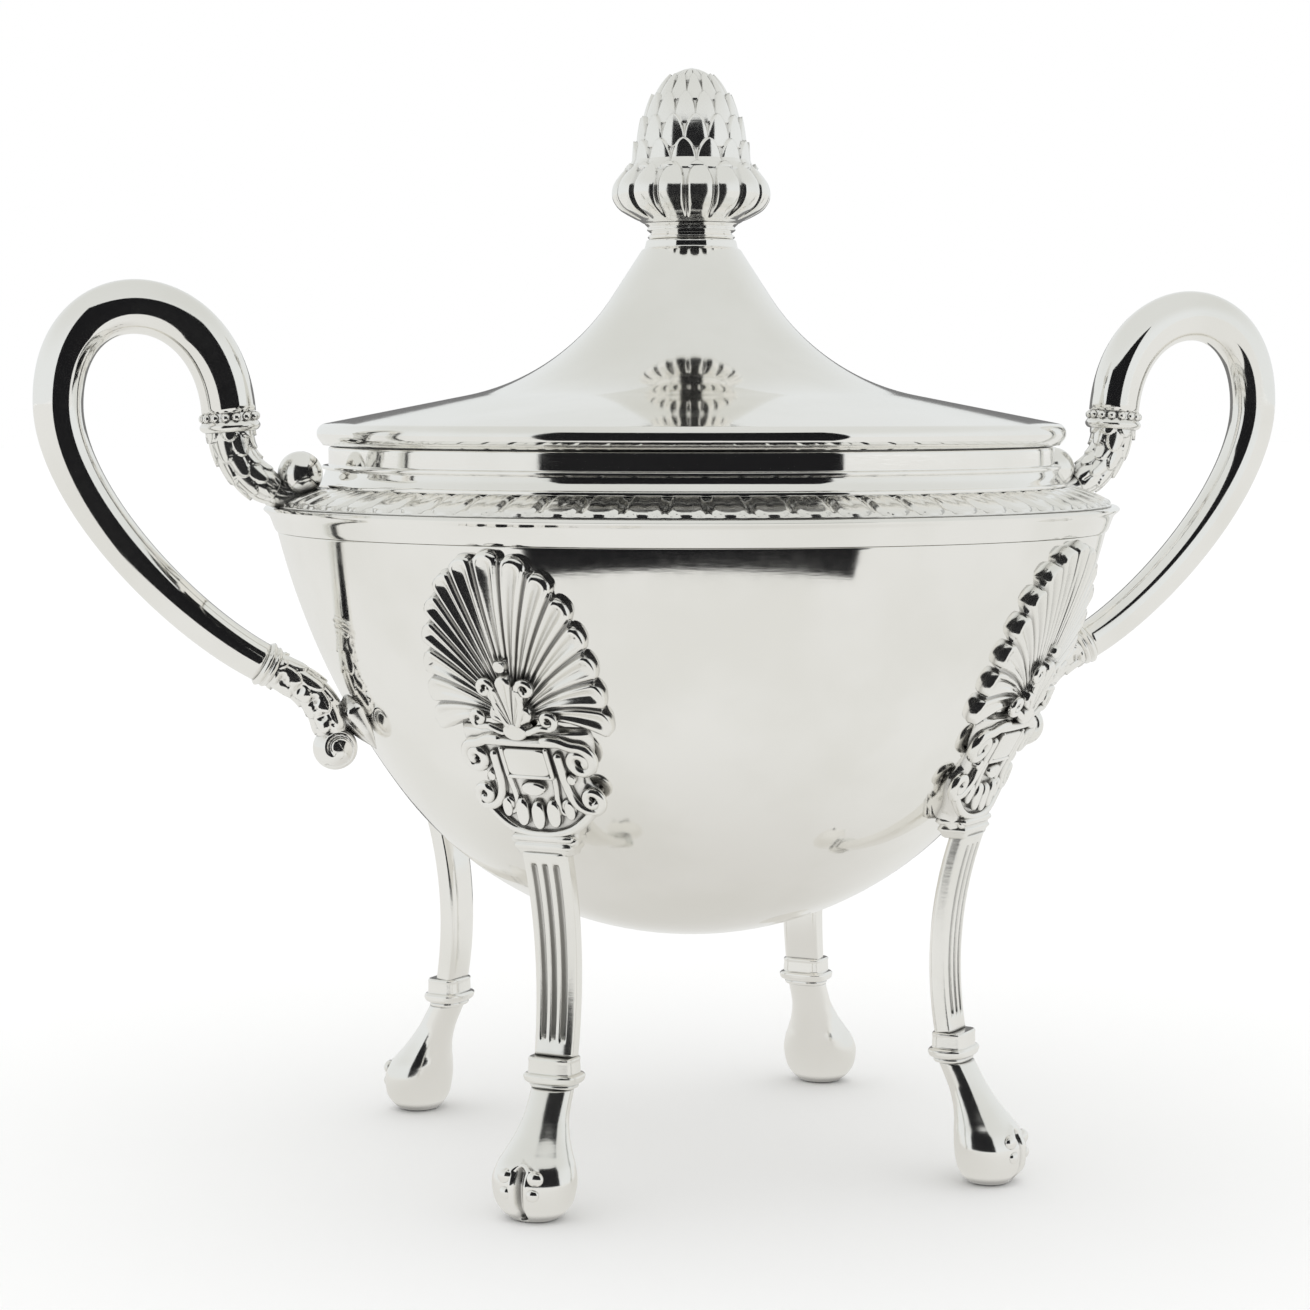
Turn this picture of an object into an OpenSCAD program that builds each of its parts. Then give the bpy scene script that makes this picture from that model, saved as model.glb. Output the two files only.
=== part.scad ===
// Footed sugar bowl: deep bowl with a moulded rim, four hoofed legs under
// palmette plaques, two looped handles and a lift-off lid with a pine cone knop.
// Millimetres. The origin is on the table under the bowl's axis, +Z is up, and
// the handles lie along X.

/* [Bowl] */
// Height of the bowl's lowest point above the table
bowl_bottom_z = 28.95; // [26:0.05:32]
// Radius of the bowl's round lower part
belly_r = 47.62; // [46:0.01:49]
// Radius of the gentle curve of the bowl's upper wall
side_r = 96.43; // [92:0.01:100]
// Wall angle from vertical where the two curves meet
belly_angle = 36.07; // [35:0.01:37]
// Wall angle from vertical at the bowl's top edge
top_angle = 13.80; // [13:0.01:15]
// Thickness of the bowl's wall
wall = 1.0; // [0.8:0.1:1.4]

/* [Rim] */
// Height of the rim moulding above the bowl's top edge
rim_h = 3.3; // [3:0.1:3.5]
// How far the rim moulding stands out past the bowl's top edge
rim_out = 1.8; // [1.5:0.1:2.2]
// Rise of the sloping leaf band
band_rise = 2.4; // [2:0.1:3]
// Width of the sloping leaf band, measured on the level
band_w = 5.7; // [5:0.1:6.5]
// Outer radius of the upright mouth collar
mouth_r = 47.5; // [46.5:0.1:48]
// Height of the mouth collar above the leaf band
mouth_h = 5.2; // [4:0.1:6]

/* [Lid] */
// Height the lid's lip stands above the collar it rests on
lid_seat = 0.2; // [0.1:0.05:0.4]
// Outer radius of the lid's lip
lip_r = 49.0; // [48.5:0.1:50]
// Slope of the lid's skirt above the level
skirt_angle = 11.15; // [10.5:0.05:12]
// Slope of the lid's neck above the level
neck_angle = 57; // [56:0.5:59]
// Radius of the sweep between skirt and neck
sweep_r = 29.5; // [28:0.1:31]
// Radius of the lid's neck where the knop stands
neck_r = 5.6; // [5.2:0.1:6]
// Thickness of the lid's sheet
lid_wall = 0.9; // [0.7:0.1:1.2]
// Depth of the bezel that keeps the lid centred in the mouth
bezel_depth = 5.6; // [4:0.1:6.5]
// Side gap between the bezel and the mouth collar
bezel_gap = 0.4; // [0.3:0.05:0.8]

/* [Knop] */
// Height of the knop's whole cone above its collar
cone_h = 20.3; // [19:0.1:22]
// Largest radius of the knop, at its ring of leaves
calyx_r = 10.0; // [9:0.1:10.5]
// Radius of the threaded stud that holds the knop
stud_r = 1.5; // [1.2:0.1:1.8]

/* [Legs] */
// Angle of each leg from the front or back of the bowl
leg_spread = 44; // [40:0.5:46]
// Width of a palmette plaque
palm_w = 24.2; // [22:0.1:25]
// Height of a palmette plaque's foot above the table
palm_z = 46.9; // [46:0.1:47.5]
// Height of a palmette plaque
palm_h = 35.2; // [34:0.1:35.2]
// Number of ribs in a palmette's fan
palm_ribs = 15; // [13:2:17]
// Width of the block under a palmette
block_w = 8.2; // [7.5:0.1:9]
// Width of the shank at its top
shank_w = 6.2; // [5.8:0.1:6.8]
// Width of the shank at the ankle
ankle_w = 5.3; // [5:0.1:5.8]
// Thickness of the shank, front to back
shank_t = 2.5; // [2.2:0.1:3]
// Radius of the curve that the shank follows
shank_bend = 50; // [48:0.5:55]
// Height of the ankle collar's middle above the table
ankle_z = 16.4; // [16:0.1:17]
// Width of a hoof at its widest
hoof_w = 10.6; // [9:0.1:10.8]

/* [Handles] */
// Diameter of the handle's tube at the upper collar
tube_top_d = 6.8; // [6:0.1:7]
// Diameter of the handle's tube at the lower collar
tube_end_d = 5.0; // [4.6:0.1:5.4]
// Diameter of the scroll balls
ball_d = 5.7; // [5:0.1:6]

/* [Hidden] */

$fn = 64;
silver = [0.88, 0.87, 0.84];
bright = [0.93, 0.92, 0.90];
shaded = [0.76, 0.76, 0.74];
solder = 0.02;              // film between soldered pieces

// Leg directions about the bowl's axis
FRONT_LEFT = 270 - leg_spread;
FRONT_RIGHT = 270 + leg_spread;
BACK_LEFT = 90 + leg_spread;
BACK_RIGHT = 90 - leg_spread;

// ---- derived places ----
belly_z = bowl_bottom_z + belly_r;
side_x = (belly_r - side_r) * cos(belly_angle);
side_z = belly_z + (side_r - belly_r) * sin(belly_angle);
wall_top_r = side_x + side_r * cos(top_angle);
wall_top_z = side_z - side_r * sin(top_angle);
top_in_angle = asin(side_r * sin(top_angle) / (side_r - wall));
bead_edge_r = wall_top_r + rim_out;
bead_top_z = wall_top_z + rim_h;
rim_in_r = wall_top_r - 1.4;
band_in_r = bead_edge_r - 1.1 - band_w;
band_top_z = bead_top_z + solder + band_rise;
mouth_base_z = band_top_z + solder;
mouth_top_z = mouth_base_z + mouth_h;
mouth_in_r = mouth_r - wall;
lip_z = mouth_top_z + lid_seat;
lip_round = 1.3;
skirt_r = lip_r - lip_round + lip_round * sin(skirt_angle);
skirt_z = lip_z + 1.5 + lip_round * cos(skirt_angle);
// The skirt meets the sweep, and the sweep the neck, so that both run smoothly
sweep_dr = sweep_r * (sin(neck_angle) - sin(skirt_angle));
sweep_dz = sweep_r * (cos(skirt_angle) - cos(neck_angle));
neck_h = 23.9;
neck_z = skirt_z + neck_h;
neck_low_r = (neck_z - skirt_z - sweep_dz + neck_r * tan(neck_angle)
    - (skirt_r - sweep_dr) * tan(skirt_angle)) / (tan(neck_angle) - tan(skirt_angle));
sweep_x = neck_low_r + sweep_r * sin(neck_angle);
sweep_z = neck_z - (neck_low_r - neck_r) * tan(neck_angle) + sweep_r * cos(neck_angle);
bezel_r = mouth_in_r - bezel_gap;
knop_z = neck_z + solder;
knop_collar_h = 2.1;
cone_z = knop_z + knop_collar_h + solder;
block_z = palm_z - 2.5;
block_out = 41.2;
ankle_rho = 38.1;
ankle_up = 2.7;             // ankle's top above its middle
ankle_down = 1.2;
ankle_top_z = ankle_z + ankle_up + solder;
ankle_low_z = ankle_z - ankle_down - solder;
hoof_rho = 43.2;
bend_z = 27.8;              // height at which the shank stands furthest in

// Handle centreline in X and Z: over the top, then down to the lower collar
loop_over = [[61.1, 97.7], [62.3, 114.4], [82.3, 115.7], [82.3, 98.7]];
loop_down = [[82.3, 98.7], [82.3, 87.3], [67.5, 71.7], [57.3, 66.1]];
upper_ball = [52.1, 89.95];
lower_ball = [47.9, 54.9];
upper_knee = [58.2, 91.2];
upper_foot = [55.5, 87.8];
lower_knee = [48.3, 59.4];

// ---- helpers ----
function arc(x, y, r, a0, a1, n = 10) =
    [for (i = [0:n]) let (a = a0 + (a1 - a0) * i / n) [x + r * cos(a), y + r * sin(a)]];
function bezier(p, t) =
    pow(1 - t, 3) * p[0] + 3 * pow(1 - t, 2) * t * p[1]
    + 3 * (1 - t) * t * t * p[2] + pow(t, 3) * p[3];
function bowl_side(shift) = concat(
    arc(0, belly_z, belly_r + shift, -90, -belly_angle, 12),
    arc(side_x, side_z, side_r + shift, -belly_angle, -top_angle, 8));

// The bowl's solid shape out to its outer wall, grown by shift
module bowl_mass(shift) {
    rotate_extrude($fn = 96)
        polygon(concat([[0, wall_top_z]], bowl_side(shift)));
}

// A skin over the bowl's wall, from low to high above the metal
module bowl_skin(low, high) {
    rotate_extrude($fn = 96)
        polygon(concat(
            arc(0, belly_z, belly_r + high, -60, -belly_angle, 5),
            arc(side_x, side_z, side_r + high, -belly_angle, -top_angle, 8),
            arc(side_x, side_z, side_r + low, -top_angle, -belly_angle, 8),
            arc(0, belly_z, belly_r + low, -belly_angle, -60, 5)));
}

// Stands its child, drawn in X (across) and Y (up), upright and facing outward
module facing_out(from, depth) {
    translate([from, 0, 0])
        rotate([90, 0, 90])
            linear_extrude(height = depth)
                children();
}

// Turns a leg, drawn along +X, to its own direction
module at_leg(direction) {
    rotate([0, 0, direction])
        children();
}

// Builds a right-hand piece as drawn and its left-hand twin by mirroring
module on_side(side) {
    mirror([side == "left" ? 1 : 0, 0, 0])
        children();
}

// ---- bowl and rim ----
module bowl() {
    color(silver)
        rotate_extrude($fn = 96)
            polygon(concat(
                bowl_side(0),
                arc(side_x, side_z, side_r - wall, -top_in_angle, -belly_angle, 8),
                arc(0, belly_z, belly_r - wall, -belly_angle, -90, 12)));
}

// Outer face of the rim moulding, grown by shift: an upright edge over a face that falls
// back to the wall
function rim_face(shift) = [
    [wall_top_r + 0.12 + shift, wall_top_z + solder],
    [wall_top_r + 0.4 + shift, wall_top_z + 0.45],
    [bead_edge_r - 0.12 + shift, bead_top_z - 0.7],
    [bead_edge_r + shift, bead_top_z - 0.45],
    [bead_edge_r + shift, bead_top_z + shift]
];

module rim_bead() {
    color(bright)
        rotate_extrude($fn = 96)
            polygon(concat(
                [[rim_in_r, wall_top_z + solder]],
                rim_face(0),
                [[rim_in_r, bead_top_z]]));
}

module leaf_band() {
    low = bead_top_z + solder;
    color(silver)
        rotate_extrude($fn = 96)
            polygon([
                [rim_in_r, low],
                [bead_edge_r - 1.1, low],
                [bead_edge_r - 1.1, low + 0.3],
                [band_in_r, band_top_z],
                [mouth_in_r, band_top_z],
                [mouth_in_r, band_top_z - wall]
            ]);
}

module mouth_collar() {
    // height of the foot bead, then of the sloping face, then of the upper bead
    foot_h = 0.5;
    slope_h = 1.8;
    bead_h = 0.5;
    color(bright)
        rotate_extrude($fn = 96)
            polygon([
                [mouth_in_r, mouth_base_z],
                [mouth_r + 1.5, mouth_base_z],
                [mouth_r + 1.5, mouth_base_z + foot_h],
                [mouth_r + 0.4, mouth_base_z + foot_h + slope_h],
                [mouth_r + 0.85, mouth_base_z + foot_h + slope_h],
                [mouth_r + 0.85, mouth_base_z + foot_h + slope_h + bead_h],
                [mouth_r, mouth_base_z + foot_h + slope_h + bead_h],
                [mouth_r, mouth_top_z],
                [mouth_in_r, mouth_top_z]
            ]);
}

// ---- lid ----
module lid_shell() {
    lip_in_r = bezel_r + solder;
    top_hole_r = stud_r + 0.05;
    color(silver)
        rotate_extrude($fn = 96)
            polygon(concat(
                [[lip_in_r, lip_z]],
                [[lip_r - 0.5, lip_z]],
                arc(lip_r - lip_round, lip_z + 1.5, lip_round, -40, 90 - skirt_angle, 6),
                arc(sweep_x, sweep_z, sweep_r, -90 - skirt_angle, -90 - neck_angle, 12),
                [[neck_r, neck_z]],
                [[top_hole_r, neck_z]],
                [[top_hole_r, neck_z - lid_wall]],
                [[neck_r - lid_wall * tan(neck_angle / 2), neck_z - lid_wall]],
                arc(sweep_x, sweep_z, sweep_r + lid_wall, -90 - neck_angle, -90 - skirt_angle, 12),
                [[lip_in_r, skirt_z + (skirt_r - lip_in_r) * tan(skirt_angle)
                    - lid_wall / cos(skirt_angle)]]));
}

module lid_bezel() {
    top = lip_z + 1.6;
    color(shaded)
        rotate_extrude($fn = 96)
            polygon([
                [bezel_r - 0.8, lip_z - bezel_depth],
                [bezel_r, lip_z - bezel_depth],
                [bezel_r, top],
                [bezel_r - 0.8, top]
            ]);
}

// ---- knop ----
module knop_collar() {
    color(bright)
        rotate_extrude()
            polygon(concat(
                [[stud_r + 0.05, knop_z]],
                arc(neck_r - 0.65, knop_z + 1.05, 1.05, -80, 80, 8),
                [[stud_r + 0.05, knop_z + knop_collar_h]]));
}

module pinecone_knop() {
    tip_z = cone_z + cone_h;
    color(silver)
        difference() {
            rotate_extrude()
                polygon(concat(
                    [[0, cone_z]],
                    [[6.2, cone_z], [8.2, cone_z + 1.9]],
                    arc(calyx_r - 1.9, cone_z + 4.1, 1.9, -30, 60, 6),
                    [[8.6, cone_z + 7.1], [7.8, cone_z + 8.8], [7.2, cone_z + 12.4],
                        [6.1, cone_z + 15.2]],
                    arc(0, tip_z - 5.2, 5.2, 15, 90, 6)));
            translate([0, 0, cone_z - 1])
                cylinder(r = stud_r + 0.05, h = 9);
        }
}

module knop_screw() {
    color(shaded)
        translate([0, 0, neck_z - 6])
            cylinder(r = stud_r, h = cone_z + 7.9 - neck_z + 6);
}

module knop_washer() {
    color(shaded)
        translate([0, 0, neck_z - lid_wall - 0.62])
            difference() {
                cylinder(r = 3.4, h = 0.6);
                translate([0, 0, -1])
                    cylinder(r = stud_r + 0.05, h = 3);
            }
}

module knop_nut() {
    color(shaded)
        translate([0, 0, neck_z - lid_wall - 3.06])
            difference() {
                cylinder(r = 3.1, h = 2.4, $fn = 6);
                translate([0, 0, -1])
                    cylinder(r = stud_r + 0.05, h = 5);
            }
}

// ---- legs ----
// Plaque outline: a fan above, narrowing through side scrolls to the block
module palmette_outline() {
    fan_r = palm_w / 2;
    fan_z = palm_z + palm_h - fan_r;
    waist_z = palm_z + 11;
    translate([0, fan_z])
        circle(r = fan_r, $fn = 48);
    polygon([
        [-fan_r, fan_z], [-fan_r * 0.93, fan_z - 6], [-fan_r * 0.62, waist_z],
        [-fan_r * 0.36, palm_z], [fan_r * 0.36, palm_z],
        [fan_r * 0.62, waist_z], [fan_r * 0.93, fan_z - 6], [fan_r, fan_z]
    ]);
    for (side = [-1, 1])
        translate([side * fan_r * 0.6, palm_z + 6.4])
            circle(r = 2.6, $fn = 32);
}

// The fan's raised ribs, spread from the bead at the plaque's middle
module palmette_ribs() {
    heart_z = palm_z + 14.6;
    reach = palm_z + palm_h - heart_z - 0.9;
    for (i = [0:palm_ribs - 1]) {
        angle = 90 + (i - (palm_ribs - 1) / 2) * 200 / (palm_ribs - 1);
        rib = min(reach, (palm_w / 2 - 1) / max(0.01, abs(cos(angle))));
        tip = rib * tan(5.2);
        translate([0, heart_z])
            rotate([0, 0, angle])
                polygon([[4, 0.35], [4, -0.35], [rib - 0.8, -tip], [rib, 0], [rib - 0.8, tip]]);
    }
}

module palmette(direction) {
    plate = 1.3;
    rib_rise = 0.8;
    foot_h = 3.1;
    color(silver)
        at_leg(direction)
            union() {
                intersection() {
                    bowl_skin(solder, plate);
                    facing_out(30, 40)
                        palmette_outline();
                }
                intersection() {
                    bowl_skin(plate - 0.1, plate + rib_rise);
                    facing_out(30, 40)
                        palmette_ribs();
                }
                // thick foot that the leg's block is soldered to
                difference() {
                    translate([36, -block_w / 2, palm_z])
                        cube([block_out - 36, block_w, foot_h]);
                    bowl_mass(solder);
                }
            }
}

// Side outline of the shank: an even strip bending outward at both ends
module shank_side() {
    top_z = block_z + 0.3;
    bend_x = ankle_rho + shank_bend * cos(asin((bend_z - ankle_z) / shank_bend));
    top_turn = 180 - asin((top_z - bend_z) / shank_bend);
    low_turn = 180 + asin((bend_z - ankle_z) / shank_bend);
    polygon(concat(
        arc(bend_x, bend_z, shank_bend - shank_t / 2, top_turn, low_turn, 14),
        arc(bend_x, bend_z, shank_bend + shank_t / 2, low_turn, top_turn, 14)));
}

module shank(direction) {
    block_in = 37.2;
    groove_step = 1.6;
    color(silver)
        at_leg(direction)
            difference() {
                union() {
                    intersection() {
                        rotate([90, 0, 0])
                            linear_extrude(height = shank_w, center = true)
                                shank_side();
                        facing_out(30, 20)
                            polygon([
                                [-ankle_w / 2, ankle_top_z], [ankle_w / 2, ankle_top_z],
                                [shank_w / 2, block_z + 0.5], [-shank_w / 2, block_z + 0.5]
                            ]);
                    }
                    translate([block_in, -block_w / 2, block_z])
                        cube([block_out - block_in, block_w, palm_z - block_z - solder]);
                }
                bowl_mass(solder);
                // three flutes down the front
                for (i = [-1:1])
                    intersection() {
                        translate([0, i * groove_step, 0])
                            rotate([90, 0, 0])
                                linear_extrude(height = 0.7, center = true)
                                    translate([shank_t - 0.35, 0])
                                        shank_side();
                        translate([30, -5, ankle_top_z + 1])
                            cube([20, 10, block_z - ankle_top_z - 2]);
                    }
            }
}

// Flat slab with rounded sides
module oval_slab(width, depth, height) {
    straight = width - depth;
    linear_extrude(height = height) {
        square([depth, straight], center = true);
        for (side = [-1, 1])
            translate([0, side * straight / 2])
                circle(d = depth, $fn = 32);
    }
}

// Squared block standing on a rounded flange and a narrow band
module ankle(direction) {
    block_d = 4.4;
    width = ankle_w + 0.6;
    flange_out = 1.2;
    flange_low = 0.6;
    flange_up = 0.7;
    color(bright)
        at_leg(direction)
            translate([ankle_rho, 0, ankle_z]) {
                translate([-block_d / 2, -width / 2, flange_up - 0.1])
                    cube([block_d, width, ankle_up - flange_up + 0.1]);
                translate([0, 0, -flange_low])
                    oval_slab(width + flange_out, block_d + flange_out, flange_low + flange_up);
                translate([0, 0, -ankle_down])
                    oval_slab(width, block_d, ankle_down);
            }
}

module hoof(direction) {
    pad_r = 2.4;
    lean = atan((hoof_rho - ankle_rho - 0.6) / (ankle_low_z - 5));
    color(silver)
        at_leg(direction)
            difference() {
                union() {
                    // sole pad, the flat that the bowl stands on
                    translate([hoof_rho, 0, 0])
                        cylinder(r = pad_r, h = 2, $fn = 32);
                    translate([hoof_rho, 0, 4.8])
                        scale([4.3 / 4.6, hoof_w / 9.2, 1])
                            sphere(r = 4.6, $fn = 32);
                    // pastern, leaning out from the ankle to the hoof
                    translate([ankle_rho + 0.4, 0, ankle_low_z])
                        rotate([0, 180 - lean, 0])
                            translate([0, 0, -0.8])
                                cylinder(r1 = 2.3, r2 = 3.3, h = 10, $fn = 32);
                }
                // flat top against the ankle
                translate([30, -10, ankle_low_z])
                    cube([30, 20, 10]);
                // cleft down the toe
                translate([hoof_rho + 3.4, -0.3, 0.8])
                    cube([3, 0.6, 6.5]);
            }
}

// ---- handles, drawn for the right side ----
// Tube swept along the centreline, thinning from the upper to the lower collar
module handle_tube() {
    sides = 20;
    steps = 22;
    path = concat(
        [for (i = [0:steps]) bezier(loop_over, i / steps)],
        [for (i = [1:steps]) bezier(loop_down, i / steps)]);
    last = len(path) - 1;
    radius = [for (i = [0:last]) let (t = max(0, i / last - 0.25) / 0.75)
        (tube_top_d + (tube_end_d - tube_top_d) * t) / 2];
    points = [for (i = [0:last]) let (
            step = i == 0 ? loop_over[1] - loop_over[0]
                : i == last ? loop_down[3] - loop_down[2]
                : path[i + 1] - path[i - 1],
            along = step / norm(step))
        for (j = [0:sides - 1]) let (turn = 360 * j / sides)
            [path[i][0] + radius[i] * cos(turn) * along[1],
                radius[i] * sin(turn),
                path[i][1] - radius[i] * cos(turn) * along[0]]];
    faces = concat(
        [[for (j = [0:sides - 1]) j]],
        [[for (j = [0:sides - 1]) last * sides + sides - 1 - j]],
        [for (i = [0:last - 1]) for (j = [0:sides - 1]) let (k = (j + 1) % sides)
            [i * sides + j, (i + 1) * sides + j, (i + 1) * sides + k]],
        [for (i = [0:last - 1]) for (j = [0:sides - 1]) let (k = (j + 1) % sides)
            [i * sides + j, (i + 1) * sides + k, i * sides + k]]);
    polyhedron(points = points, faces = faces, convexity = 6);
}

// Places a collar drawn up from the tube's end, running away from the tube
module at_tube_end(end, next) {
    away = end - next;
    translate([end[0], 0, end[1]])
        rotate([0, atan2(away[0], away[1]), 0])
            children();
}

// Two beads side by side, as the collar at a tube's end
module double_bead(outer_r, bead_h) {
    rotate_extrude($fn = 48)
        polygon(concat(
            [[0, solder]],
            arc(outer_r - bead_h / 2, solder + bead_h / 2, bead_h / 2, -90, 90, 6),
            arc(outer_r - bead_h / 2 - 0.2, solder + bead_h * 1.5, bead_h / 2, -90, 90, 6),
            [[0, solder + 2 * bead_h]]));
}

module handle(side) {
    color(silver)
        on_side(side)
            handle_tube();
}

module upper_collar(side) {
    color(bright)
        on_side(side)
            at_tube_end(loop_over[0], loop_over[1])
                double_bead(tube_top_d / 2 + 0.5, 1.2);
}

module lower_collar(side) {
    color(bright)
        on_side(side)
            at_tube_end(loop_down[3], loop_down[2])
                double_bead(tube_end_d / 2 + 0.5, 0.9);
}

// Solid that the upper leaf must stay out of: rim moulding and leaf band
module rim_mass() {
    rotate_extrude($fn = 96)
        polygon(concat(
            [[0, wall_top_z + solder]],
            rim_face(solder),
            [[bead_edge_r - 1.1 + solder, bead_top_z + solder]],
            [[bead_edge_r - 1.1 + solder, bead_top_z + 0.35]],
            [[band_in_r, band_top_z + solder]],
            [[0, band_top_z + solder]]));
}

// Leafed socket that carries the tube's upper end down to the rim
module upper_leaf(side) {
    color(silver)
        on_side(side)
            difference() {
                union() {
                    at_tube_end(loop_over[0], loop_over[1])
                        rotate([0, 18, 0])
                            translate([-0.4, 0, 2.42])
                                cylinder(r1 = 3.1, r2 = 2.7, h = 4.6, $fn = 32);
                    translate([upper_knee[0], 0, upper_knee[1]])
                        sphere(r = 2.75, $fn = 32);
                    translate([upper_knee[0], 0, upper_knee[1]])
                        rotate([0, 180 + 38, 0])
                            cylinder(r1 = 2.75, r2 = 2.2, h = 4.4, $fn = 32);
                    translate([upper_foot[0], 0, upper_foot[1]])
                        sphere(r = 2.2, $fn = 32);
                }
                rim_mass();
                translate([upper_ball[0], 0, upper_ball[1]])
                    sphere(r = ball_d / 2 + solder, $fn = 32);
                at_tube_end(loop_over[0], loop_over[1])
                    translate([-8, -8, 2.42 - 8])
                        cube([16, 16, 8]);
            }
}

module upper_ball(side) {
    color(bright)
        on_side(side)
            difference() {
                translate([upper_ball[0], 0, upper_ball[1]])
                    sphere(r = ball_d / 2, $fn = 32);
                rim_mass();
            }
}

// Leafed socket that brings the tube's lower end to the bowl's wall
module lower_leaf(side) {
    color(silver)
        on_side(side)
            difference() {
                union() {
                    at_tube_end(loop_down[3], loop_down[2])
                        translate([0, 0, 1.82])
                            cylinder(r1 = 2.5, r2 = 2.3, h = 8.6, $fn = 32);
                    translate([lower_knee[0], 0, lower_knee[1]])
                        sphere(r = 2.5, $fn = 32);
                    translate([lower_knee[0], 0, lower_knee[1]])
                        rotate([0, 180 + 58, 0])
                            cylinder(r1 = 2.45, r2 = 1.2, h = 8, $fn = 32);
                }
                bowl_mass(solder);
                translate([lower_ball[0], 0, lower_ball[1]])
                    sphere(r = ball_d / 2 + solder, $fn = 32);
            }
}

module lower_ball(side) {
    color(bright)
        on_side(side)
            translate([lower_ball[0], 0, lower_ball[1]])
                sphere(r = ball_d / 2, $fn = 32);
}

bowl();
rim_bead();
leaf_band();
mouth_collar();
lid_shell();
lid_bezel();
knop_collar();
pinecone_knop();
knop_screw();
knop_washer();
knop_nut();
palmette(FRONT_LEFT);  // palmette_front_left
shank(FRONT_LEFT);  // shank_front_left
ankle(FRONT_LEFT);  // ankle_front_left
hoof(FRONT_LEFT);  // hoof_front_left
palmette(FRONT_RIGHT);  // palmette_front_right
shank(FRONT_RIGHT);  // shank_front_right
ankle(FRONT_RIGHT);  // ankle_front_right
hoof(FRONT_RIGHT);  // hoof_front_right
palmette(BACK_LEFT);  // palmette_back_left
shank(BACK_LEFT);  // shank_back_left
ankle(BACK_LEFT);  // ankle_back_left
hoof(BACK_LEFT);  // hoof_back_left
palmette(BACK_RIGHT);  // palmette_back_right
shank(BACK_RIGHT);  // shank_back_right
ankle(BACK_RIGHT);  // ankle_back_right
hoof(BACK_RIGHT);  // hoof_back_right
handle("left");  // handle_left
upper_collar("left");  // upper_collar_left
upper_leaf("left");  // upper_leaf_left
upper_ball("left");  // upper_ball_left
lower_collar("left");  // lower_collar_left
lower_leaf("left");  // lower_leaf_left
lower_ball("left");  // lower_ball_left
handle("right");  // handle_right
upper_collar("right");  // upper_collar_right
upper_leaf("right");  // upper_leaf_right
upper_ball("right");  // upper_ball_right
lower_collar("right");  // lower_collar_right
lower_leaf("right");  // lower_leaf_right
lower_ball("right");  // lower_ball_right
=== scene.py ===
"""Visual model of the footed silver sugar bowl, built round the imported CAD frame.

Shapes are worked out in millimetres and written to the meshes in metres. The bowl's
axis is the frame's Z axis, and the handles lie along X.
"""
import math

import bpy
import numpy as np
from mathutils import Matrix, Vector

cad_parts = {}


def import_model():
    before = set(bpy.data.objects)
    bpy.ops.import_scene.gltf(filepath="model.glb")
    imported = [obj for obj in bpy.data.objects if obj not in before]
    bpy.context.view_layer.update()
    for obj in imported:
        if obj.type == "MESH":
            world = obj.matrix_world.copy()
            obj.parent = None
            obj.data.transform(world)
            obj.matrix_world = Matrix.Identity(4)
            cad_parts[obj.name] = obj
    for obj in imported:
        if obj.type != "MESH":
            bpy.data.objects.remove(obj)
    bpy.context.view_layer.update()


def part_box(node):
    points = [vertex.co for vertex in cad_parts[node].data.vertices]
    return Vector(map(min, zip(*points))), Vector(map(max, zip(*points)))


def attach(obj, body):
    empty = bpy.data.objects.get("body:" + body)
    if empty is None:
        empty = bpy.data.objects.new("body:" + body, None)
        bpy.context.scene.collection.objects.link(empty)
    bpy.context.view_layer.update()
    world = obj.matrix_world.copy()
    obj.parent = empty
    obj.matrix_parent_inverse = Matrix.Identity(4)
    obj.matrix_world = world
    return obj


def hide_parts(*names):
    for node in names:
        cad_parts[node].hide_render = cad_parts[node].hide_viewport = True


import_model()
MM = 0.001
TAU = 2 * math.pi


def low(node, axis):
    """A node's lowest coordinate along an axis, in millimetres."""
    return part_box(node)[0][axis] / MM


def high(node, axis):
    """A node's highest coordinate along an axis, in millimetres."""
    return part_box(node)[1][axis] / MM


# ---------------------------------------------------------------- dimensions (mm)
# Heights and radii of the CAD parts
BOWL_Z = low("bowl", 2)
WALL_TOP_Z = low("rim_bead", 2)
RIM_R = high("rim_bead", 0)
BEAD_TOP_Z = high("rim_bead", 2)
BAND_TOP_Z = high("leaf_band", 2)
MOUTH_TOP_Z = high("mouth_collar", 2)
LIP_Z = low("lid_shell", 2)
LIP_R = high("lid_shell", 0)
NECK_Z = high("lid_shell", 2)
BEZEL_LOW_Z = low("lid_bezel", 2)
BEZEL_R = high("lid_bezel", 0)
CONE_Z = low("pinecone_knop", 2)
TIP_Z = high("pinecone_knop", 2)

# The bowl's two curves: a ball below and a wider arc above, as in the CAD
BELLY_R = 47.62
SIDE_R = 96.43
BELLY_ANGLE = math.radians(36.07)
TOP_ANGLE = math.radians(13.80)
BELLY_Z = BOWL_Z + BELLY_R
SIDE_X = (BELLY_R - SIDE_R) * math.cos(BELLY_ANGLE)
SIDE_Z = BELLY_Z + (SIDE_R - BELLY_R) * math.sin(BELLY_ANGLE)
JOIN_Z = BELLY_Z - BELLY_R * math.sin(BELLY_ANGLE)
WALL = 1.0

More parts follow.
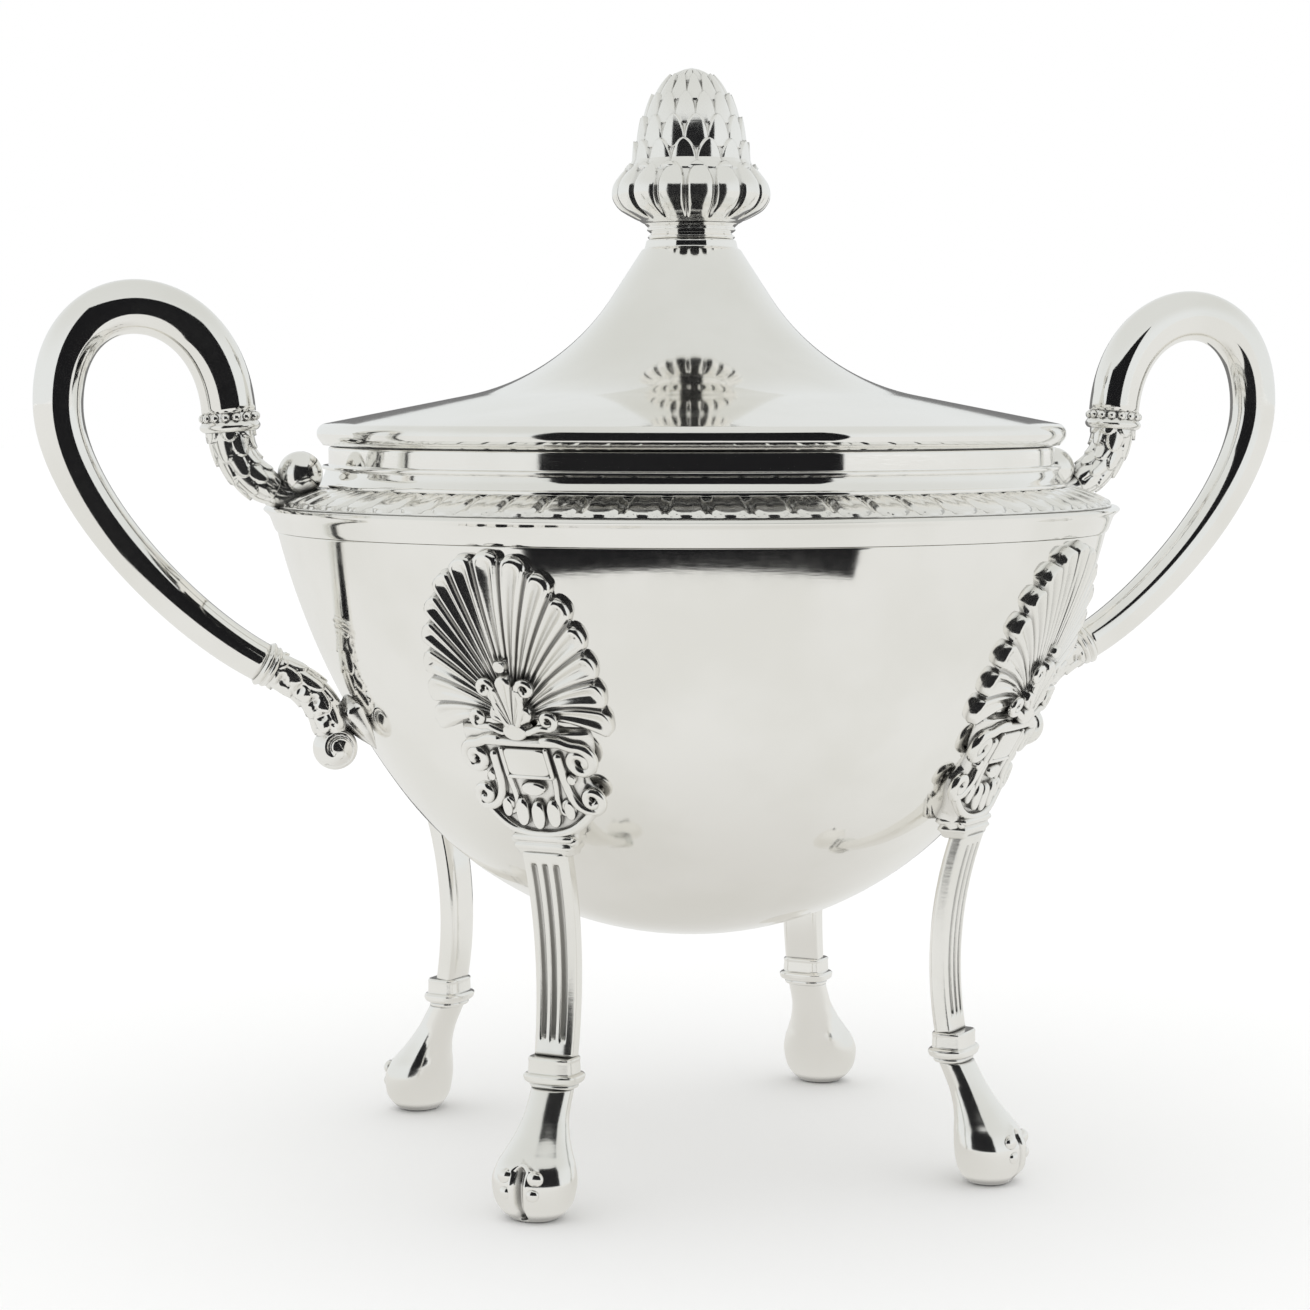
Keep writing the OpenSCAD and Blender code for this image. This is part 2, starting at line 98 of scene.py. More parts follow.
# The lid's skirt, sweep and neck, and the mouth inside the collar
SKIRT_ANGLE = math.radians(11.15)
NECK_ANGLE = math.radians(57)
SWEEP_R = 29.5
NECK_R = 5.6
LIP_ROUND = 1.3
LID_WALL = 0.9
MOUTH_IN_R = 46.5

# The legs' directions in degrees, and their sizes, as in the CAD
LEG_SPREAD = 44
LEGS = {
    "front_left": 270 - LEG_SPREAD,
    "front_right": 270 + LEG_SPREAD,
    "back_left": 90 + LEG_SPREAD,
    "back_right": 90 - LEG_SPREAD,
}
PALM_Z = 46.9
BLOCK_W = 8.2
BLOCK_IN = 37.2
BLOCK_OUT = 41.2
SHANK_W = 6.2
SHANK_BEND = 50
BEND_Z = 27.8
ANKLE_W = 5.3
ANKLE_RHO = 38.1
ANKLE_Z = 16.4
ANKLE_UP = 2.7
ANKLE_DOWN = 1.2

# Handle centreline in X and Z, as in the CAD
LOOP_OVER = np.array([[61.1, 97.7], [62.3, 114.4], [82.3, 115.7], [82.3, 98.7]])
LOOP_DOWN = np.array([[82.3, 98.7], [82.3, 87.3], [67.5, 71.7], [57.3, 66.1]])
TUBE_TOP_D = 6.8
TUBE_END_D = 5.0
BALL_R = 2.85
UPPER_BALL = np.array([52.1, 89.95])
LOWER_BALL = np.array([47.9, 54.9])
LOWER_KNEE = np.array([48.3, 59.4])

# The camera's turn from straight in front in degrees, and its place, aim and lens in mm
CAMERA_TURN = -18.0
CAMERA_RADIUS = 409.2
CAMERA_HEIGHT = 99.3
AIM_ASIDE = -4.75
AIM_HEIGHT = 65.6
CAMERA_LENS = 85.2


# ---------------------------------------------------------------- curves
def bezier(p, t):
    t = np.asarray(t, float)[:, None]
    return (1 - t) ** 3 * p[0] + 3 * (1 - t) ** 2 * t * p[1] + 3 * (1 - t) * t * t * p[2] + t ** 3 * p[3]


def ease(x):
    """A soft step from 0 to 1."""
    x = np.clip(x, 0, 1)
    return x * x * (3 - 2 * x)


def quarter_round(x):
    """Falls from 1 to 0 along a quarter circle as x goes from 0 to 1, either way from 0."""
    return np.sqrt(np.clip(1 - np.clip(x, -1, 1) ** 2, 0, 1))


def hump(x, width):
    """A soft hump, 1 high at x = 0."""
    return np.exp(-((x / width) ** 2))


def squared(cos, sin, corner):
    """Distance to the edge of a unit circle that grows squarer with corner, from a direction."""
    return (np.abs(cos) ** corner + np.abs(sin) ** corner) ** (-1 / corner)


def arc(x, y, r, a0, a1, steps):
    """Points on an arc, angles in radians."""
    a = np.linspace(a0, a1, steps + 1)
    return np.stack([x + r * np.cos(a), y + r * np.sin(a)], 1)


def rounded(corners, steps=5, closed=True):
    """Outline through (x, y, radius) corners, each corner eased by its own radius."""
    pts = [np.array(c[:2], float) for c in corners]
    out = []
    for i, corner in enumerate(corners):
        here, radius = pts[i], corner[2]
        if not closed and i in (0, len(pts) - 1):
            out.append(here)
            continue
        back, ahead = pts[i - 1] - here, pts[(i + 1) % len(pts)] - here
        lb, la = np.linalg.norm(back), np.linalg.norm(ahead)
        cut = min(radius, 0.45 * lb, 0.45 * la)
        a, b = here + back / lb * cut, here + ahead / la * cut
        lead = min(0.06, 0.05 * min(la, lb))
        out.append(a + back / lb * lead)
        for t in np.linspace(0, 1, steps + 1):
            out.append((1 - t) ** 2 * a + 2 * t * (1 - t) * here + t * t * b)
        out.append(b + ahead / la * lead)
    return np.array(out)


def smooth_through(xs, ys, x):
    """A smooth curve through a few points that never overshoots them."""
    xs, ys, x = np.asarray(xs, float), np.asarray(ys, float), np.asarray(x, float)
    h, d = np.diff(xs), np.diff(ys) / np.diff(xs)
    m = np.zeros_like(ys)
    m[0], m[-1] = d[0], d[-1]
    for i in range(1, len(xs) - 1):
        if d[i - 1] * d[i] > 0:
            w1, w2 = 2 * h[i] + h[i - 1], h[i] + 2 * h[i - 1]
            m[i] = (w1 + w2) / (w1 / d[i - 1] + w2 / d[i])
    k = np.clip(np.searchsorted(xs, x) - 1, 0, len(xs) - 2)
    t = (x - xs[k]) / h[k]
    return (
        (1 + 2 * t) * (1 - t) ** 2 * ys[k]
        + t * (1 - t) ** 2 * h[k] * m[k]
        + t * t * (3 - 2 * t) * ys[k + 1]
        + t * t * (t - 1) * h[k] * m[k + 1]
    )


def distances(points):
    """How far along a line each of its points lies."""
    return np.concatenate([[0], np.cumsum(np.linalg.norm(np.diff(points, axis=0), axis=1))])


def resampled(points, count):
    """The same open line with evenly spaced points."""
    points = np.asarray(points, float)
    s = distances(points)
    at = np.linspace(0, s[-1], count)
    return np.stack([np.interp(at, s, points[:, k]) for k in range(points.shape[1])], 1)


def normals_2d(points, closed=False):
    """Unit normals to the right of a 2-D line's direction."""
    if closed:
        step = np.roll(points, -1, 0) - np.roll(points, 1, 0)
    else:
        step = np.gradient(points, axis=0)
    step /= np.linalg.norm(step, axis=1)[:, None] + 1e-12
    return np.stack([step[:, 1], -step[:, 0]], 1)


# ---------------------------------------------------------------- meshes
class Shape:
    """Closed surfaces in millimetres, gathered into one piece."""

    def __init__(self):
        self.verts, self.faces, self.count = [], [], 0

    def add(self, verts, faces):
        """Adds one closed surface, turned so that its faces look outward."""
        verts = np.asarray(verts, float)
        centre = verts.mean(0)
        volume = 0.0
        for face in faces:
            a = verts[face[:, 0]] - centre
            for k in range(1, face.shape[1] - 1):
                b, c = verts[face[:, k]] - centre, verts[face[:, k + 1]] - centre
                volume += np.einsum("ij,ij->i", a, np.cross(b, c)).sum()
        if volume < 0:
            faces = [face[:, ::-1] for face in faces]
        self.verts.append(verts)
        self.faces += [face + self.count for face in faces]
        self.count += len(verts)
        return self

    def add_grid(self, grid, wrap_rows=False):
        """Adds rows of points, each row a closed ring; the end rows are joined or else capped."""
        rows, cols = grid.shape[:2]
        verts = grid.reshape(-1, 3)
        i = np.arange(rows if wrap_rows else rows - 1)[:, None]
        j = np.arange(cols)[None, :]
        i2, j2 = (i + 1) % rows, (j + 1) % cols
        quads = np.stack([i * cols + j, i2 * cols + j, i2 * cols + j2, i * cols + j2], -1).reshape(-1, 4)
        faces = [quads]
        if not wrap_rows:
            ring = np.arange(cols)
            ends = np.stack([grid[0].mean(0), grid[-1].mean(0)])
            first, last = len(verts), len(verts) + 1
            verts = np.concatenate([verts, ends])
            tail = (rows - 1) * cols
            faces.append(np.stack([np.full(cols, first), ring, (ring + 1) % cols], 1))
            faces.append(np.stack([np.full(cols, last), tail + (ring + 1) % cols, tail + ring], 1))
        return self.add(verts, faces)

    def moved(self, matrix):
        """A copy turned by a 3 x 3 matrix."""
        copy = Shape()
        for verts in self.verts:
            copy.verts.append(verts @ matrix.T)
        mirrored = np.linalg.det(matrix) < 0
        copy.faces = [face[:, ::-1] if mirrored else face for face in self.faces]
        copy.count = self.count
        return copy


def turn_z(degrees):
    a = math.radians(degrees)
    return np.array([[math.cos(a), -math.sin(a), 0], [math.sin(a), math.cos(a), 0], [0, 0, 1]])


MIRROR_X = np.diag([-1.0, 1.0, 1.0])


def piece(name, shape, material, body, *nodes):
    """Makes the Blender object, gives it its finish, and stands it in for its CAD nodes."""
    verts = np.concatenate(shape.verts) * MM
    sizes = np.concatenate([np.full(len(f), f.shape[1]) for f in shape.faces])
    loops = np.concatenate([f.ravel() for f in shape.faces]).astype(np.int32)
    mesh = bpy.data.meshes.new(name)
    mesh.vertices.add(len(verts))
    mesh.vertices.foreach_set("co", verts.ravel())
    mesh.loops.add(len(loops))
    mesh.loops.foreach_set("vertex_index", loops)
    mesh.polygons.add(len(sizes))
    starts = np.concatenate([[0], np.cumsum(sizes)[:-1]]).astype(np.int32)
    mesh.polygons.foreach_set("loop_start", starts)
    mesh.polygons.foreach_set("use_smooth", np.ones(len(sizes), bool))
    mesh.update(calc_edges=True)
    mesh.validate()
    mesh.materials.append(material)
    thing = bpy.data.objects.new(name, mesh)
    bpy.context.scene.collection.objects.link(thing)
    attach(thing, body)
    if nodes:
        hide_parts(*nodes)
    return thing


def revolve(profile, turns, lift=None, closed=True):
    """Turns an outline of (radius, height) about Z.

    lift(angle, row) gives how far each point stands out along the outline's normal.
    An open outline starts and ends on the axis or is capped flat.
    """
    profile = np.asarray(profile, float)
    angle = np.linspace(0, TAU, turns, endpoint=False)
    r = np.repeat(profile[:, :1], turns, 1)
    z = np.repeat(profile[:, 1:], turns, 1)
    if lift is not None:
        out = normals_2d(profile, closed)
        height = lift(angle[None, :], np.arange(len(profile))[:, None])
        r = r + out[:, :1] * height
        z = z + out[:, 1:] * height
    grid = np.stack([r * np.cos(angle), r * np.sin(angle), z], -1)
    return grid


def turned(profile, turns=128, lift=None, closed=True):
    """A piece turned about Z from a closed outline, or an open one capped at its ends."""
    return Shape().add_grid(revolve(profile, turns, lift, closed), wrap_rows=closed)


# ---------------------------------------------------------------- materials
def node_tree(name):
    material = bpy.data.materials.new(name)
    material.use_nodes = True
    tree = material.node_tree
    return material, tree, tree.nodes["Principled BSDF"]


def link(tree, source, target):
    tree.links.new(source, target)


def noise(tree, coords, scale, detail=3.0, stretch=None):
    """Noise in object space; stretch squeezes the pattern along each axis."""
    if stretch is not None:
        mapping = tree.nodes.new("ShaderNodeMapping")
        mapping.inputs["Scale"].default_value = stretch
        link(tree, coords, mapping.inputs["Vector"])
        coords = mapping.outputs["Vector"]
    node = tree.nodes.new("ShaderNodeTexNoise")
    node.inputs["Scale"].default_value = scale
    node.inputs["Detail"].default_value = detail
    link(tree, coords, node.inputs["Vector"])
    return node.outputs["Fac"]


def span(tree, value, low_in, high_in, low_out, high_out):
    """Maps a value from one range to another, held at the ends."""
    node = tree.nodes.new("ShaderNodeMapRange")
    node.interpolation_type = "SMOOTHSTEP"
    limits = {"From Min": low_in, "From Max": high_in, "To Min": low_out, "To Max": high_out}
    for key, number in limits.items():
        node.inputs[key].default_value = number
    link(tree, value, node.inputs["Value"])
    return node.outputs["Result"]


def maths(tree, operation, a, b):
    """A sum or product of two values; a product is held between 0 and 1."""
    node = tree.nodes.new("ShaderNodeMath")
    node.operation = operation
    node.use_clamp = operation == "MULTIPLY"
    for socket, value in zip(node.inputs, (a, b)):
        if isinstance(value, float):
            socket.default_value = value
        else:
            link(tree, value, socket)
    return node.outputs["Value"]


def blend_colours(tree, factor, first, second):
    node = tree.nodes.new("ShaderNodeMix")
    node.data_type = "RGBA"
    link(tree, factor, node.inputs["Factor"])
    for key, colour in (("A", first), ("B", second)):
        socket = [s for s in node.inputs if s.name == key and s.type == "RGBA"][0]
        if isinstance(colour, tuple):
            socket.default_value = (*colour, 1)
        else:
            link(tree, colour, socket)
    return [s for s in node.outputs if s.type == "RGBA"][0]


def bump(tree, height, distance, strength, under=None):
    node = tree.nodes.new("ShaderNodeBump")
    node.inputs["Distance"].default_value = distance
    node.inputs["Strength"].default_value = strength
    link(tree, height, node.inputs["Height"])
    if under is not None:
        link(tree, under, node.inputs["Normal"])
    return node.outputs["Normal"]


# Metal colours, and how far in metres a surface looks round itself for a recess
BRIGHT_SILVER = (0.955, 0.945, 0.92)
CLOUDED_SILVER = (0.905, 0.895, 0.86)
# Near-black for recesses: partly tarnish, partly painted shade in creases and where parts meet
TARNISH_AND_PAINTED_SHADE = (0.05, 0.047, 0.045)
RECESS_REACH = 0.0016


def silver(name, gloss, cavity, clouding, wave, scratch):
    """Silver with cloudy polish, hairline scratches, handling marks, and recesses darkened with tarnish and
    painted shade.
    """
    material, tree, shader = node_tree(name)
    coords = tree.nodes.new("ShaderNodeTexCoord").outputs["Object"]
    cloud = noise(tree, coords, 55.0, 4.0)
    fine = noise(tree, coords, 900.0, 3.0)
    swirl = noise(tree, coords, 420.0, 2.0, (1.0, 1.0, 9.0))
    hair = noise(tree, coords, 1500.0, 2.0, (0.12, 1.0, 1.0))
    tone = blend_colours(tree, span(tree, cloud, 0.35, 0.7, 0.0, 1.0), BRIGHT_SILVER, CLOUDED_SILVER)
    # Ambient occlusion darkens creases, hollows and joins with tarnish and painted shade together, and
    # roughens them
    if cavity:
        hollow = tree.nodes.new("ShaderNodeAmbientOcclusion")
        hollow.samples = 8
        hollow.inputs["Distance"].default_value = RECESS_REACH
        shut = span(tree, hollow.outputs["AO"], 0.25, 0.85, 1.0, 0.0)
        dark = maths(tree, "MULTIPLY", shut, 0.7)
        patchy = maths(tree, "MULTIPLY", dark, span(tree, cloud, 0.25, 0.75, 0.8, 1.0))
        tone = blend_colours(tree, patchy, tone, TARNISH_AND_PAINTED_SHADE)
        rough = maths(tree, "MULTIPLY", patchy, 0.35)
    link(tree, tone, shader.inputs["Base Color"])
    shader.inputs["Metallic"].default_value = 1.0
    haze = maths(tree, "MULTIPLY", cloud, maths(tree, "ADD", fine, 0.5))
    shine = span(tree, haze, 0.2, 0.8, gloss, gloss + clouding)
    if cavity:
        shine = maths(tree, "ADD", shine, rough)
    link(tree, shine, shader.inputs["Roughness"])
    waves = bump(tree, noise(tree, coords, 30.0, 1.0), 0.001, wave)
    marks = bump(tree, swirl, 0.00002, scratch, waves)
    link(tree, bump(tree, hair, 0.00002, scratch, marks), shader.inputs["Normal"])
    return material


POLISHED = silver("mirror_polish", 0.05, False, 0.05, 0.04, 0.06)
CHASED = silver("chased_and_darkened", 0.10, True, 0.08, 0.06, 0.2)
INNER = silver("satin_inside", 0.22, True, 0.15, 0.08, 0.3)


# ---------------------------------------------------------------- bowl and rim
def bowl_outline(shift, steps_low=30, steps_high=18):
    """The bowl's outer line from the bottom up, moved outward by shift."""
    ball = arc(0, BELLY_Z, BELLY_R + shift, -math.pi / 2, -BELLY_ANGLE, steps_low)
    side = arc(SIDE_X, SIDE_Z, SIDE_R + shift, -BELLY_ANGLE, -TOP_ANGLE, steps_high)
    return np.concatenate([ball, side[1:]])


def wall_at(z):
    """Radius of the bowl's outer wall at a height, and its outward normal."""
    z = np.asarray(z, float)
    ball = np.sqrt(np.maximum(BELLY_R ** 2 - (z - BELLY_Z) ** 2, 1e-6))
    side = SIDE_X + np.sqrt(np.maximum(SIDE_R ** 2 - (z - SIDE_Z) ** 2, 1e-6))
    upper = z > JOIN_Z
    r = np.where(upper, side, ball)
    nr = np.where(upper, (r - SIDE_X) / SIDE_R, r / BELLY_R)
    nz = np.where(upper, (z - SIDE_Z) / SIDE_R, (z - BELLY_Z) / BELLY_R)
    return r, nr, nz


def bowl():
    outer = bowl_outline(0)
    inner = bowl_outline(-WALL)[::-1]
    inner = inner[inner[:, 1] < outer[-1, 1] - 0.5]
    top = rounded([(*outer[-2], 0), (*outer[-1], 0.3), (outer[-1, 0] - 0.95, outer[-1, 1] - 0.05, 0.3),
                   (*inner[0], 0)], closed=False)
    line = np.concatenate([outer[:-2], top, inner[1:]])
    return turned(line, 224, closed=False)


def rim_bead():
    """The rim moulding: a rounded upper edge over a face that falls back to the wall."""
    top, edge_z = BEAD_TOP_Z, BEAD_TOP_Z - 0.45
    foot_r = wall_at(WALL_TOP_Z)[0] + 0.12
    line = rounded([
        (RIM_R - 3.2, WALL_TOP_Z, 0.05), (foot_r, WALL_TOP_Z, 0.1), (foot_r + 0.25, WALL_TOP_Z + 0.4, 0.3),
        (RIM_R - 0.8, edge_z - 0.75, 1.0), (RIM_R - 0.1, edge_z - 0.15, 0.2), (RIM_R, edge_z + 0.05, 0.02),
        (RIM_R - 0.3, top, 0.4), (RIM_R - 3.2, top, 0.05),
    ], 6)
    return turned(line, 256)


BAND_TONGUES = 68


def tongue(across, along):
    """Height of the leaf band: broad tongues, narrow sunk dividers and small arcs at the outer ends.

    across runs from 0 to 1 round one repeat, and along from the outer edge to the inner one.
    """
    x = 2 * np.abs(across - 0.5)
    reach = 0.86 * quarter_round(np.clip((0.24 - along) / 0.22, 0, 1))
    body = ease((reach - x) / 0.14)
    vein = 0.08 * hump(x, 0.14) * np.clip((along - 0.25) / 0.3, 0, 1)
    dart = 0.22 * hump(1 - x, 0.16) * hump(along - 0.1, 0.09)
    ends = np.clip(along / 0.06, 0, 1) * np.clip((1 - along) / 0.06, 0, 1)
    return np.maximum((0.22 + 0.14 * quarter_round(x / 1.1)) * body - vein, dart) * ends


def leaf_band():
    low = BEAD_TOP_Z + 0.02
    foot = np.array([RIM_R - 1.1, low + 0.3])
    crown = np.array([RIM_R - 6.8, BAND_TOP_Z])
    slope = np.stack([foot + (crown - foot) * t for t in np.linspace(0, 1, 30)])
    bulge = 0.25 * np.sin(np.linspace(0, math.pi, 30))[:, None]
    slope = slope + bulge * np.array([0.35, 0.94])
    under = [[MOUTH_IN_R, BAND_TOP_Z], [MOUTH_IN_R, BAND_TOP_Z - 1.0], [RIM_R - 3.2, low], [RIM_R - 1.1, low]]
    line = np.concatenate([slope, under])

    def relief(angle, row):
        along = np.clip(row / 29, 0, 1)
        across = (angle / TAU * BAND_TONGUES) % 1.0
        return np.where(row < 30, -0.12 + tongue(across, along), 0.0)

    return turned(line, BAND_TONGUES * 18, relief)


def mouth_collar():
    """The upright collar, with a sloping face between two small beads round its foot."""
    base = BAND_TOP_Z + 0.02
    r = MOUTH_IN_R + WALL
    line = rounded([
        (MOUTH_IN_R, base, 0.1), (r + 1.5, base, 0.15), (r + 1.5, base + 0.45, 0.2),
        (r + 1.3, base + 0.6, 0.08), (r + 0.7, base + 1.25, 0.8), (r + 0.35, base + 2.25, 0.1),
        (r + 0.85, base + 2.35, 0.15), (r + 0.85, base + 2.8, 0.25), (r, base + 2.85, 0.12),
        (r, MOUTH_TOP_Z, 0.35), (MOUTH_IN_R, MOUTH_TOP_Z, 0.35),
    ], 5)
    return turned(line, 224)


# ---------------------------------------------------------------- lid
def lid_line():
    """The lid's upper line from the lip to the neck, and the sweep's centre."""
    skirt_r = LIP_R - LIP_ROUND + LIP_ROUND * math.sin(SKIRT_ANGLE)
    skirt_z = LIP_Z + 1.5 + LIP_ROUND * math.cos(SKIRT_ANGLE)
    drop_r = SWEEP_R * (math.sin(NECK_ANGLE) - math.sin(SKIRT_ANGLE))
    drop_z = SWEEP_R * (math.cos(SKIRT_ANGLE) - math.cos(NECK_ANGLE))
    steep, flat = math.tan(NECK_ANGLE), math.tan(SKIRT_ANGLE)
    low_r = (NECK_Z - skirt_z - drop_z + NECK_R * steep - (skirt_r - drop_r) * flat) / (steep - flat)
    x = low_r + SWEEP_R * math.sin(NECK_ANGLE)
    z = NECK_Z - (low_r - NECK_R) * steep + SWEEP_R * math.cos(NECK_ANGLE)
    return skirt_r, skirt_z, x, z


def lid_shell():
    skirt_r, skirt_z, x, z = lid_line()
    quarter = math.pi / 2
    lip = arc(LIP_R - LIP_ROUND, LIP_Z + 1.5, LIP_ROUND, math.radians(-40), quarter - SKIRT_ANGLE, 12)
    sweep = arc(x, z, SWEEP_R, -quarter - SKIRT_ANGLE, -quarter - NECK_ANGLE, 30)
    neck = rounded([(*sweep[-1], 0), (NECK_R + 0.85, NECK_Z - 1.25, 0.25), (NECK_R + 0.5, NECK_Z - 1.1, 0.2),
                    (NECK_R + 0.25, NECK_Z, 0.25), (1.7, NECK_Z, 0.05), (1.7, NECK_Z - LID_WALL, 0.05),
                    (NECK_R - LID_WALL * math.tan(NECK_ANGLE / 2), NECK_Z - LID_WALL, 0.3)], 4, closed=False)
    hollow = arc(x, z, SWEEP_R + LID_WALL, -quarter - NECK_ANGLE, -quarter - SKIRT_ANGLE, 30)
    seat_z = skirt_z + (skirt_r - BEZEL_R) * math.tan(SKIRT_ANGLE) - LID_WALL / math.cos(SKIRT_ANGLE)
    rest = [[BEZEL_R + 0.02, seat_z], [BEZEL_R + 0.02, LIP_Z], [LIP_R - 0.8, LIP_Z]]
    return turned(np.concatenate([lip, sweep, neck[1:], hollow, rest]), 224)


def lid_bezel():
    in_r, top = BEZEL_R - 0.8, LIP_Z + 1.6
    line = rounded([(in_r, BEZEL_LOW_Z, 0.3), (BEZEL_R, BEZEL_LOW_Z, 0.3),
                    (BEZEL_R, top, 0.2), (in_r, top, 0.2)], 4)
    return turned(line, 192)


# ---------------------------------------------------------------- shared ornament
def bead(centre, radii, steps=12):
    """A small rounded bead, radii along X, Y and Z."""
    a = np.linspace(0.02, math.pi - 0.02, steps)
    ring = np.linspace(0, TAU, 2 * steps, endpoint=False)
    grid = np.stack([np.sin(a)[:, None] * np.cos(ring), np.sin(a)[:, None] * np.sin(ring),
                     np.repeat(np.cos(a)[:, None], 2 * steps, 1)], -1)
    return grid * np.asarray(radii, float) + np.asarray(centre, float)


def shingles(along, turn, per_turn, overlap=1.7, taper=0.35):
    """Height of overlapping scales whose rounded tips point to higher values of along.

    along counts rows, and turn runs from 0 to 1 round the piece.
    """
    best = np.zeros(np.broadcast(along, turn).shape)
    base = np.floor(along)
    for back in range(3):
        row = base - back
        v = (along - row) / overlap
        u = (turn * per_turn + 0.5 * (row % 2)) % 1.0 - 0.5
        reach = 0.56 * quarter_round(np.clip((v - taper) / (1 - taper), 0, 1))
        inside = ease((reach - np.abs(u)) / 0.12)
        dome = quarter_round(u / 0.64)
        best = np.maximum(best, np.where(v <= 1, (0.3 + 0.7 * v) * dome * inside, 0))
    return best


def sweep(path, across, radius, sides=24, lift=None):
    """Rows of points round a path; across holds the direction from which angles count."""
    path, across = np.asarray(path, float), np.asarray(across, float)
    along = np.gradient(path, axis=0)
    along /= np.linalg.norm(along, axis=1)[:, None]
    across = across - along * np.einsum("ij,ij->i", across, along)[:, None]
    across /= np.linalg.norm(across, axis=1)[:, None]
    other = np.cross(along, across)
    angle = np.linspace(0, TAU, sides, endpoint=False)
    r = np.broadcast_to(np.asarray(radius, float), (len(path),))[:, None] * np.ones(sides)
    if lift is not None:
        r = r + lift(np.arange(len(path))[:, None], angle[None, :])
    return (path[:, None, :] + across[:, None, :] * (r * np.cos(angle))[..., None]
            + other[:, None, :] * (r * np.sin(angle))[..., None])


def rounded_ends(count, radius, taper_start, taper_end, length):
    """Radius along a strand whose two ends are rounded off over the given lengths."""
    s = np.linspace(0, length, count)
    start = quarter_round(np.clip(1 - s / taper_start, 0, 1))
    end = quarter_round(np.clip(1 - (length - s) / taper_end, 0, 1))
    return np.maximum(radius * start * end, 0.02)


def length_of(path):
    return np.linalg.norm(np.diff(path, axis=0), axis=1).sum()


# ---------------------------------------------------------------- knop
def knop_collar():
    z = NECK_Z + 0.02
    line = rounded([
        (1.6, z, 0.05), (5.4, z, 0.2), (5.8, z + 0.35, 0.25), (5.35, z + 0.72, 0.12), (5.3, z + 0.85, 0.1),
        (5.85, z + 1.25, 0.3), (5.65, z + 1.6, 0.12), (6.2, z + 2.1, 0.2), (1.6, z + 2.1, 0.05),
    ], 5)
    return turned(line, 128)


CALYX_LOBES = 16
CONE_ROWS = 5
SCALES_PER_ROW = 14


def pinecone():
    """A calyx of rounded lobes under a blunt cone of overlapping scales."""
    z = CONE_Z
    stem = rounded([(1.6, z, 0), (6.3, z, 0.2), (9.3, z + 2.0, 1.6), (10.1, z + 3.4, 1.0),
                    (9.9, z + 4.9, 1.0), (8.9, z + 6.4, 0.8), (7.9, z + 7.6, 0.3),
                    (7.7, z + 8.0, 0.1)], 6, closed=False)
    knots_z = np.array([8.0, 11.5, 14.7, 16.4, 17.9, 19.1, 19.9]) + z
    knots_r = np.array([7.65, 6.95, 5.85, 4.95, 3.85, 2.45, 1.0])
    heights = np.linspace(knots_z[0], knots_z[-1], 160)
    side = np.stack([smooth_through(knots_z, knots_r, heights), heights], 1)
    line = resampled(np.concatenate([resampled(stem, 90), side[1:], [[0.05, TIP_Z - 0.15]]]), 320)
    steps = distances(line)
    calyx_low = np.interp(z + 0.4, line[:, 1], steps)
    calyx_top = np.interp(z + 7.6, line[:, 1], steps)
    cone_low, cone_high = calyx_top - 1.2, steps[-1] - 0.6

    def relief(angle, row):
        s = steps[row]
        petal = (angle / TAU * CALYX_LOBES) % 1.0 - 0.5
        way = np.clip((s - calyx_low) / (calyx_top - calyx_low), 0, 1)
        half = 0.5 * quarter_round(np.clip((way - 0.6) / 0.4, 0, 1))
        body = ease((half - np.abs(petal)) / 0.13)
        swell = np.sin(math.pi * np.clip(way, 0, 0.96)) ** 0.6
        calyx = (0.85 * quarter_round(petal / 0.56) * body - 0.45) * swell
        rows = (s - cone_low) / (cone_high - cone_low) * CONE_ROWS
        scales = shingles(rows, angle / TAU, SCALES_PER_ROW, 1.32, 0.2)
        fade = ease((cone_high - s) / 2.2)
        cone = (0.78 * scales - 0.32) * fade
        return np.where(s < calyx_top - 1.0, calyx, np.where(s < calyx_top, np.maximum(calyx, cone), cone))

    return turned(line, 392, relief, closed=False)


def knop_screw():
    low_z, high_z = NECK_Z - 6, CONE_Z + 7.5
    count = 90
    line = np.stack([np.full(count, 1.42), np.linspace(low_z + 0.4, high_z, count)], 1)
    line = np.concatenate([[[1.0, low_z]], line])

    def thread(angle, row):
        turn = (row * 0.11 + angle / TAU) % 1.0
        return np.where(row > 0, 0.1 * (np.abs(turn - 0.5) * 2 - 0.8), 0.0)

    return turned(line, 40, thread, closed=False)


def knop_washer():
    top = NECK_Z - LID_WALL - 0.02
    line = rounded([(1.6, top - 0.6, 0.12), (3.4, top - 0.6, 0.2), (3.4, top, 0.2), (1.6, top, 0.12)], 4)
    return turned(line, 64)


def knop_nut():
    """A six-sided nut with its corners eased."""
    top, low_z = NECK_Z - LID_WALL - 0.66, NECK_Z - LID_WALL - 3.06
    angle = np.linspace(0, TAU, 96, endpoint=False)
    flat = 3.1 * math.cos(math.pi / 6) / np.cos((angle % (math.pi / 3)) - math.pi / 6)
    flat = np.minimum(flat, 3.03)
    rows = [(1.6, 1.6, top), (2.5, 2.6, top), (3.1, 2.75, top - 0.3), (3.1, 2.75, low_z + 0.3),
            (2.5, 2.6, low_z), (1.6, 1.6, low_z)]
    grid = []
    for hexagon, circle, z in rows:
        r = np.minimum(flat * hexagon / 3.1, 10) if hexagon > 1.6 else np.full(96, 1.6)
        grid.append(np.stack([r * np.cos(angle), r * np.sin(angle), np.full(96, z)], 1))
    return Shape().add_grid(np.array(grid), wrap_rows=True)


# ---------------------------------------------------------------- handles
def in_xz(points):
    points = np.asarray(points, float)
    return np.stack([points[:, 0], np.zeros(len(points)), points[:, 1]], 1)


